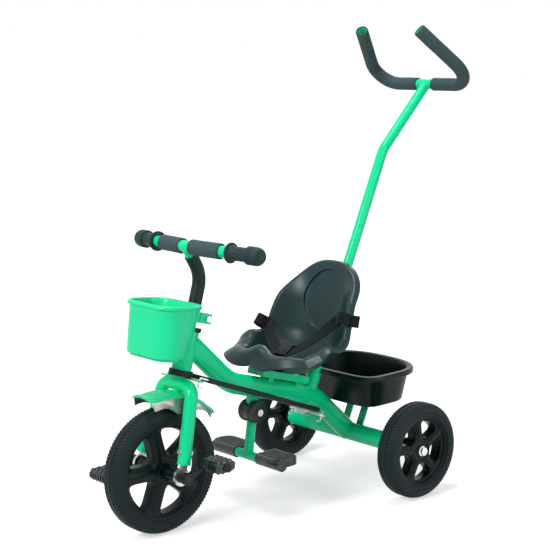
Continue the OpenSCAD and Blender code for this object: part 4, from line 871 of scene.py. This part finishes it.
# stations of a soft sleeve: rounded ends, and its bore back to the start
def sleeveStations(length, outer, bore, roundEnd, count):
    stations = []
    for k in range(7):
        t = math.radians(15 * k)
        stations.append((roundEnd * (1 - math.sin(t)), outer - roundEnd * (1 - math.cos(t))))
    stations.reverse()
    head = [(length - d, r) for d, r in reversed(stations)]
    middle = [mixed(roundEnd, length - roundEnd, k / count) for k in range(1, count)]
    inside = [(d, bore) for d in reversed([0.0] + middle + [length])]
    return stations + [(d, outer) for d in middle] + head + inside


barFoam = Sizes(node="bar_foam", body="steering", start=14, len=78, d=31, bore=23.2, lip=0)
handleFoam = Sizes(node="handle_foam", body="pusher", bare=44, half=149.6, reach=164, inset=64, bend=46,
                   d=28, bore=22.2, lip=9.7)
foam = Sizes(round=2.2, rings=40, sides=48, wobble=0.28, wobbleScale=55)
barAxis = Sizes(x=48.9151, s=435.737, dir=(-0.14637, 0.98902, 0.02057))


def barPoint(along, side):
    a = barAxis.dir
    return onSteer(barAxis.x + along * a[0], side * along * a[1], barAxis.s + along * a[2])


# each ring keeps its round shape apart from small soft dents
def softDents(seed):
    def shape(d, r, t):
        spot = Vector((d * foam.wobbleScale, math.cos(t) * 1.3 + seed, math.sin(t) * 1.3))
        return r + foam.wobble * mm * noise.noise(spot)
    return shape


def makeFoam(name, spec, lines):
    parts = []
    for seed, (line, normal) in enumerate(lines):
        outer, bore = spec.d / 2 * mm, spec.bore / 2 * mm
        stations = sleeveStations(lineLength(line), outer, bore, foam.round * mm, foam.rings)
        parts.append(closedTube(sweepRings(line, normal, stations, foam.sides, softDents(3.0 * seed))))
        if spec.lip:  # covers the end of the tube and leaves its bore open
            edge, hole, end = spec.d / 2 - 0.8, spec.lip, lineLength(line)
            lip = [(0.1, hole), (0.1, edge), (0.9, edge), (1.5, edge - 0.8), (1.5, hole + 0.6), (1.1, hole)]
            lip = [(end + d * mm, r * mm) for d, r in lip]
            parts.append(closedTube(sweepRings(line, normal, lip, foam.sides)))
    meshPiece(name, joined(parts), "foam", spec.body, [spec.node], sharp=45)


def makeFoams():
    bar, grab, lines = barFoam, handleFoam, []
    for side in (1, -1):
        ends = [barPoint(bar.start + along, side) for along in (0, bar.len)]
        lines.append((ends, (ends[1] - ends[0]).cross(zAxis).normalized()))
    makeFoam("barFoam", bar, lines)
    lines = []
    for side in (1, -1):
        corner = Vector((0, side * grab.half, 0))
        flat = filletPath(Vector((0, side * grab.bare / 2, 0)), corner,
                          Vector((grab.reach, side * (grab.half - grab.inset), 0)), grab.bend)
        line = [onHandle(p.x, p.y, 0) for p in flat]
        lines.append((line, (onHandle(0, 0, 1) - onHandle(0, 0, 0)).normalized()))
    makeFoam("handleFoam", grab, lines)


makeFoams()

stemSleeve = Sizes(low=316.8, corner=388.5, lean=46, top=47.5, bend=60, d=27, bore=22.2, pitch=2.1,
                   ridge=0.32, round=1.2, sides=56)


def makeStemSleeve():
    s = stemSleeve
    up, out = cosSin(s.lean)
    topEnd = Vector((s.top * out, 0, s.corner + s.top * up))
    flat = filletPath(Vector((0, 0, s.low)), Vector((0, 0, s.corner)), topEnd, s.bend)
    line = [onSteer(p.x, 0, p.z) for p in flat]
    length = lineLength(line)
    count = int(length / (s.pitch * mm)) * 4
    stations = sleeveStations(length, s.d / 2 * mm, s.bore / 2 * mm, s.round * mm, count)

    def ridges(d, r, t):
        dent = noise.noise(Vector((d * 60, math.cos(t), math.sin(t))))
        wave = math.cos(2 * math.pi * d / (s.pitch * mm) + 1.5 * dent)
        return r + (s.ridge * mm * (0.5 * wave - 0.5) if r > s.bore * 0.55 * mm else 0.0)

    form = closedTube(sweepRings(line, yAxis, stations, s.sides, ridges))
    meshPiece("stemSleeve", form, "sleeveFoam", "steering", ["stem_sleeve"], sharp=70)


makeStemSleeve()

grip = Sizes(start=114, len=84, bore=23.2, d=28, flange=40, knob=36, knobFrom=160, flutes=8, fluteDeep=1.1,
             fluteFrom=126, fluteTo=156, barEnd=192, turns=96)


def makeGrip(name, node, side):
    g = grip
    start, body, wide, knob = g.start, g.d / 2, g.flange / 2, g.knob / 2
    end, dome = start + g.len, start + g.len - g.knob / 2
    profile = [(g.barEnd + 0.2, g.bore / 2), (start, g.bore / 2), (start, wide - 1.6),
               (start + 0.4, wide - 0.5), (start + 1.2, wide), (start + 3.4, wide),
               (start + 4.3, wide - 0.5), (start + 4.9, wide - 1.7), (start + 5.3, wide - 3.6),
               (start + 6.2, body + 1.2), (start + 7.6, body + 0.4), (start + 9.5, body)]
    first, last = g.fluteFrom - 2, g.fluteTo + 2
    profile += [(mixed(first, last, k / 20), body - 0.35 * math.sin(math.pi * k / 20)) for k in range(21)]
    k0 = g.knobFrom
    profile += [(k0 - 0.3, body), (k0, body + 0.6), (k0 + 0.3, knob - 1.2), (k0 + 1.0, knob - 0.3),
                (k0 + 2.2, knob), (k0 + 7.6, knob), (k0 + 8.2, knob - 0.7), (k0 + 9.4, knob - 0.7),
                (k0 + 10.0, knob)]
    arc = [math.radians(a) for a in range(0, 66, 5)]
    profile += [(dome + knob * math.sin(a), knob * math.cos(a)) for a in arc]
    profile += [(end - 1.7, 7.2), (end - 2.2, 6.6), (end - 2.2, 1.0)]
    axis = (barPoint(1, side) - barPoint(0, side)).normalized()
    out = axis.cross(zAxis).normalized()
    up = out.cross(axis)
    rings = []
    for z, r in profile:
        fade = smooth((z - g.fluteFrom) / 5) * smooth((g.fluteTo - z) / 5)
        ring = []
        for t in turnsOf(g.turns):
            cut = g.fluteDeep * fade * max(0.0, math.cos(g.flutes * t)) ** 2
            ring.append(barPoint(z, side) + (out * math.cos(t) + up * math.sin(t)) * (r - cut) * mm)
        rings.append(ring)
    meshPiece(name, ringShell(rings), "gripRubber", "steering", [node], sharp=42)


makeGrip("gripLeft", "grip_left", 1)
makeGrip("gripRight", "grip_right", -1)
print("bars dressed")

# pedals with toothed treads

pedal = Sizes(w=54, len=48, h=24, inner=92, at=(-48.5621, 25.8209), tooth=2.6, rows=5, blocks=4,
              stagger=0.12)


def makePedal(name, node, body, side):
    p = pedal
    core = (p.len - 2 * p.tooth, p.w - 0.6, p.h - 2 * p.tooth)
    parts = [roundedBlock(core, 4.5)]
    rowStep, blockStep = (core[0] - 6) / p.rows, (core[1] - 3) / p.blocks
    face = (rowStep - 2.0, blockStep - 3.0)
    for r in range(p.rows):
        across = (r - (p.rows - 1) / 2) * rowStep
        for b in range(p.blocks):
            stagger = p.stagger if r % 2 else -p.stagger
            along = (b - (p.blocks - 1) / 2 + stagger) * blockStep
            for up in (1, -1):
                foot = Vector((across, along, up * core[2] / 2))
                parts.append(stud(foot, xAxis, yAxis, zAxis * up, face, p.tooth, 0.9))
    for b in range(6):
        along = (b - 2.5) * (core[1] - 4) / 6
        for end in (1, -1):
            foot = Vector((end * core[0] / 2, along, 0))
            parts.append(stud(foot, yAxis, zAxis, xAxis * end, (5.6, core[2] - 7), p.tooth, 1.0))
    centre = (frontAxle[0] + side * p.at[0], side * (p.inner + p.w / 2), frontAxle[2] + side * p.at[1])
    meshPiece(name, joined(parts, around(centre)), "treadPlastic", body, [node], sharp=35)


makePedal("pedalLeft", "pedal_left", "left_pedal", 1)
makePedal("pedalRight", "pedal_right", "right_pedal", -1)
print("pedals toothed")

# footrest: chequered pads and a ringed hinge drum

footPads = Sizes(x=(241.42, 293.42), y=(34, 114), corner=22, top=117.798, pitch=5.4, stud=3.9, h=1.4,
                 border=4)


def makePadStuds():
    f = footPads
    parts = []
    midAcross = (f.x[0] + f.x[1]) / 2
    cols, rows = [int((hi - lo - f.border) / f.pitch) for lo, hi in (f.x, f.y)]
    for side in (1, -1):
        for i in range(cols):
            for j in range(rows):
                x = midAcross + (i - (cols - 1) / 2) * f.pitch
                y = f.y[0] + f.border + (j + 0.5) * f.pitch
                past = Vector((max(0.0, abs(x - midAcross) - (f.x[1] - f.x[0]) / 2 + f.corner),
                               max(0.0, y - f.y[1] + f.corner)))
                if past.length > f.corner - 3.4:
                    continue
                foot = Vector((x, side * y, f.top))
                parts.append(stud(foot, xAxis, yAxis, zAxis, (f.stud, f.stud), f.h, 0.7))
    form = joined(parts, place)
    meshPiece("footPadTread", form, "treadPlastic", "footrest", sharp=30)


makePadStuds()

drum = Sizes(x=270.031, z=196.665, r=22.5, bands=(8.4, 12.2, 16.0), bandW=2.2, proud=0.7, turns=72)


def makeDrumBands():
    d, half, proud = drum, drum.bandW / 2, drum.proud
    band = [(-half, -0.5), (-half, proud * 0.6), (-half + 0.4, proud), (half - 0.4, proud),
            (half, proud * 0.6), (half, -0.5)]
    put = around((d.x, 0, d.z))
    parts = []
    for side in (1, -1):
        for y in d.bands:
            profile = [(d.r + lift, side * y + off) for off, lift in band]
            parts.append(closedTube(lathed(profile, put, d.turns)))
    meshPiece("drumBands", joined(parts), "drumPlastic", "footrest", sharp=50)


makeDrumBands()
print("footrest treaded")

# mudguard: ribbed dome with a turned up front lip

guard = Sizes(r=155.5, t=2.5, w=64, arc=64, dome=6.5, domePower=2.4, rib=1.3, ribs=5, ribHalf=2.3, curl=4.5,
              rearCurl=0.4, curlArc=9, boss=8, bossTop=160, bossTurns=32, cols=64, rows=60)


def guardSection(y):
    g = guard
    pitch = g.w / (g.ribs + 1)
    rib = 0.0
    for k in range(g.ribs):
        rib += math.exp(-((y - (k - (g.ribs - 1) / 2) * pitch) / g.ribHalf) ** 4)
    fall = g.dome * (abs(y) / (g.w / 2)) ** g.domePower
    return g.r - fall + g.rib * rib, g.r - g.t - fall


def makeGuard():
    g = guard
    across = [g.w * (k / g.cols - 0.5) for k in range(g.cols + 1)]
    loop = [(y, guardSection(y)[0]) for y in across]
    loop += [(y, guardSection(y)[1]) for y in reversed(across)]
    rings = []
    half, reach = g.arc / 2, g.curlArc
    for f in [90 + g.arc * (k / g.rows - 0.5) for k in range(g.rows + 1)]:
        lift = g.curl * smooth((90 - half + reach - f) / reach) ** 2
        lift += g.rearCurl * g.curl * smooth((f - 90 - half + reach) / reach) ** 2
        c, s = cosSin(f)
        rings.append([onSteer((r + lift) * c, y, (r + lift) * s) for y, r in loop])
    foot = g.r
    boss = [(12, foot - 1), (10, foot + 1.4), (g.boss, foot + 2.2), (g.boss, g.bossTop)]
    pin = lathed(boss, lambda x, s, y: onSteer(x, y, s), g.bossTurns)
    form = joined([ringShell(rings), ringShell(pin)])
    meshPiece("mudguardDome", form, "greenPlastic", "steering", ["mudguard"], sharp=45)


makeGuard()

skirts = Sizes(top=149.5, y=29.6, t=1.2, arc=62, flare=4.2, ripple=0.9, waves=2.6, waveLean=1.2,
               waveEnd=0.8, low=132.9, legDrop=17, legAt=4, legHalf=11, tailRise=6, tailAt=-24, tailHalf=8,
               rows=60, cols=10)


# lower edge of the skirts: deep by the fork legs and shallow at both ends
def skirtLow(f):
    s = skirts
    drop = s.legDrop * math.exp(-((f - s.legAt) / s.legHalf) ** 2)
    return s.low - drop + s.tailRise * math.exp(-((f - s.tailAt) / s.tailHalf) ** 2)


def makeSkirts():
    s = skirts
    parts = []
    for side in (1, -1):
        rings = []
        for k in range(s.rows + 1):
            f = s.arc * (k / s.rows - 0.5)
            out = []
            for j in range(s.cols + 1):
                v = j / s.cols
                swing = math.sin(2 * math.pi * s.waves * f / s.arc + s.waveLean * v)
                wave = s.ripple * swing * math.sin(math.pi * v * s.waveEnd)
                out.append((mixed(s.top, skirtLow(f), v), s.y + s.flare * v * v + wave))
            loop = out + [(r, y - s.t) for r, y in reversed(out)]
            up, ahead = cosSin(f)
            rings.append([onSteer(r * ahead, side * y, r * up) for r, y in loop])
        parts.append(ringShell(rings))
    meshPiece("mudguardSkirts", joined(parts), "silverSkirt", "steering",
              ["mudguard_skirts"])


makeSkirts()
print("mudguard pressed")

# baskets

rearBasket = Sizes(midX=-27.9324, w=244, d=168, floor=176, h=72, draft=12, lip=11, lipH=12, t=3,
                   frontPower=6, backPower=2.5, turns=160, steps=8)


def rearRing(inset, z):
    s = rearBasket
    ring = []
    for k in range(s.turns):
        c, h = cosSin(k * 360 / s.turns)
        n = s.frontPower if c > 0 else s.backPower
        ring.append(place(s.midX + (s.d / 2 - inset) * power(c, n), (s.w / 2 - inset) * power(h, n), z))
    return ring


def makeRearBasket():
    s = rearBasket
    top, low, lip, t = s.floor + s.h, s.floor, s.lip, s.t
    lipLow = top - s.lipH
    foot, inFoot = s.draft, s.draft + t
    walls = [(foot + 5, low), (foot + 2, low + 0.8), (foot + 0.5, low + 2.4), (foot, low + 4.5)]
    shares = [k / s.steps for k in range(1, s.steps + 1)]
    walls += [(mixed(foot, 0, k), mixed(low + 4.5, lipLow - 1, k)) for k in shares]
    walls += [(-0.6, lipLow), (-lip + 1.2, lipLow), (-lip + 0.3, lipLow + 0.5), (-lip, lipLow + 1.6),
              (-lip, top - 3.4), (-lip + 0.5, top - 1.4), (-lip + 1.8, top - 0.3), (-lip + 3.4, top),
              (t - 4.6, top), (t - 2.2, top - 0.4), (t - 0.7, top - 1.6), (t, top - 3.6)]
    walls += [(mixed(t, inFoot, k), mixed(top - 3.6, low + t + 5, k)) for k in shares]
    walls += [(inFoot + 0.8, low + t + 2.2), (inFoot + 2.4, low + t + 0.7), (inFoot + 5, low + t)]
    form = ringShell([rearRing(i, z) for i, z in walls])
    meshPiece("rearBasketShell", form, "basketPlastic", "frame", ["rear_basket"], sharp=50)


makeRearBasket()

frontBasket = Sizes(x=25, floorS=227.5, h=104, w=144, d=96, floorD=68, floorW=140, floorIn=12, slope=10.5,
                    corner=36, wallBend=0.55, lip=4, lipH=8, t=3, cornerSteps=16)


def frontRing(k, grow, lift):
    s = frontBasket
    x0 = s.x + s.floorIn * max(0.0, 1 - k / s.wallBend) - grow
    x1 = s.x + s.floorIn * (1 - k) + mixed(s.floorD, s.d, k) + grow
    w = mixed(s.floorW, s.w, k) / 2 + grow
    r = s.corner + grow
    ring = []
    for c in range(4):
        for j in range(s.cornerSteps + 1):
            cosine, sine = cosSin(c * 90 + j * 90 / s.cornerSteps)
            x = (x1 - r if c in (0, 3) else x0 + r) + r * cosine
            y = (w - r if c < 2 else r - w) + r * sine
            z = s.floorS + k * s.h + lift - (x - s.x) * math.tan(math.radians(s.slope))
            ring.append(onSteer(x, y, z))
    return ring


def makeFrontBasket():
    s = frontBasket
    low, t = s.lipH, s.t
    rings = [(0, -9, -5), (0, -7.4, -4.6), (0, -7, -3.6), (0, -7, 0), (0, -3, 0), (0, -1, 0.7), (0, 0, 3)]
    rings += [(k / 10, 0, mixed(3, 0, min(1, k / 5))) for k in range(1, 10)]
    rings += [(1, 0, -low), (1, s.lip - 1, -low + 0.2), (1, s.lip, -low + 1.2), (1, s.lip, -2.4),
              (1, s.lip - 0.7, -0.8), (1, s.lip - 2.2, 0), (1, -1, 0), (1, -2.3, -0.6), (1, -t, -2)]
    rings += [(k / 10, -t, mixed(6, 0, min(1, k / 5))) for k in range(9, 0, -1)]
    rings += [(0, -t, t + 3), (0, -t - 0.8, t + 1), (0, -t - 3, t)]
    form = ringShell([frontRing(*r) for r in rings])
    meshPiece("frontBasketShell", form, "greenPlastic", "steering",
              ["front_basket"], sharp=50)


makeFrontBasket()
print("baskets moulded")
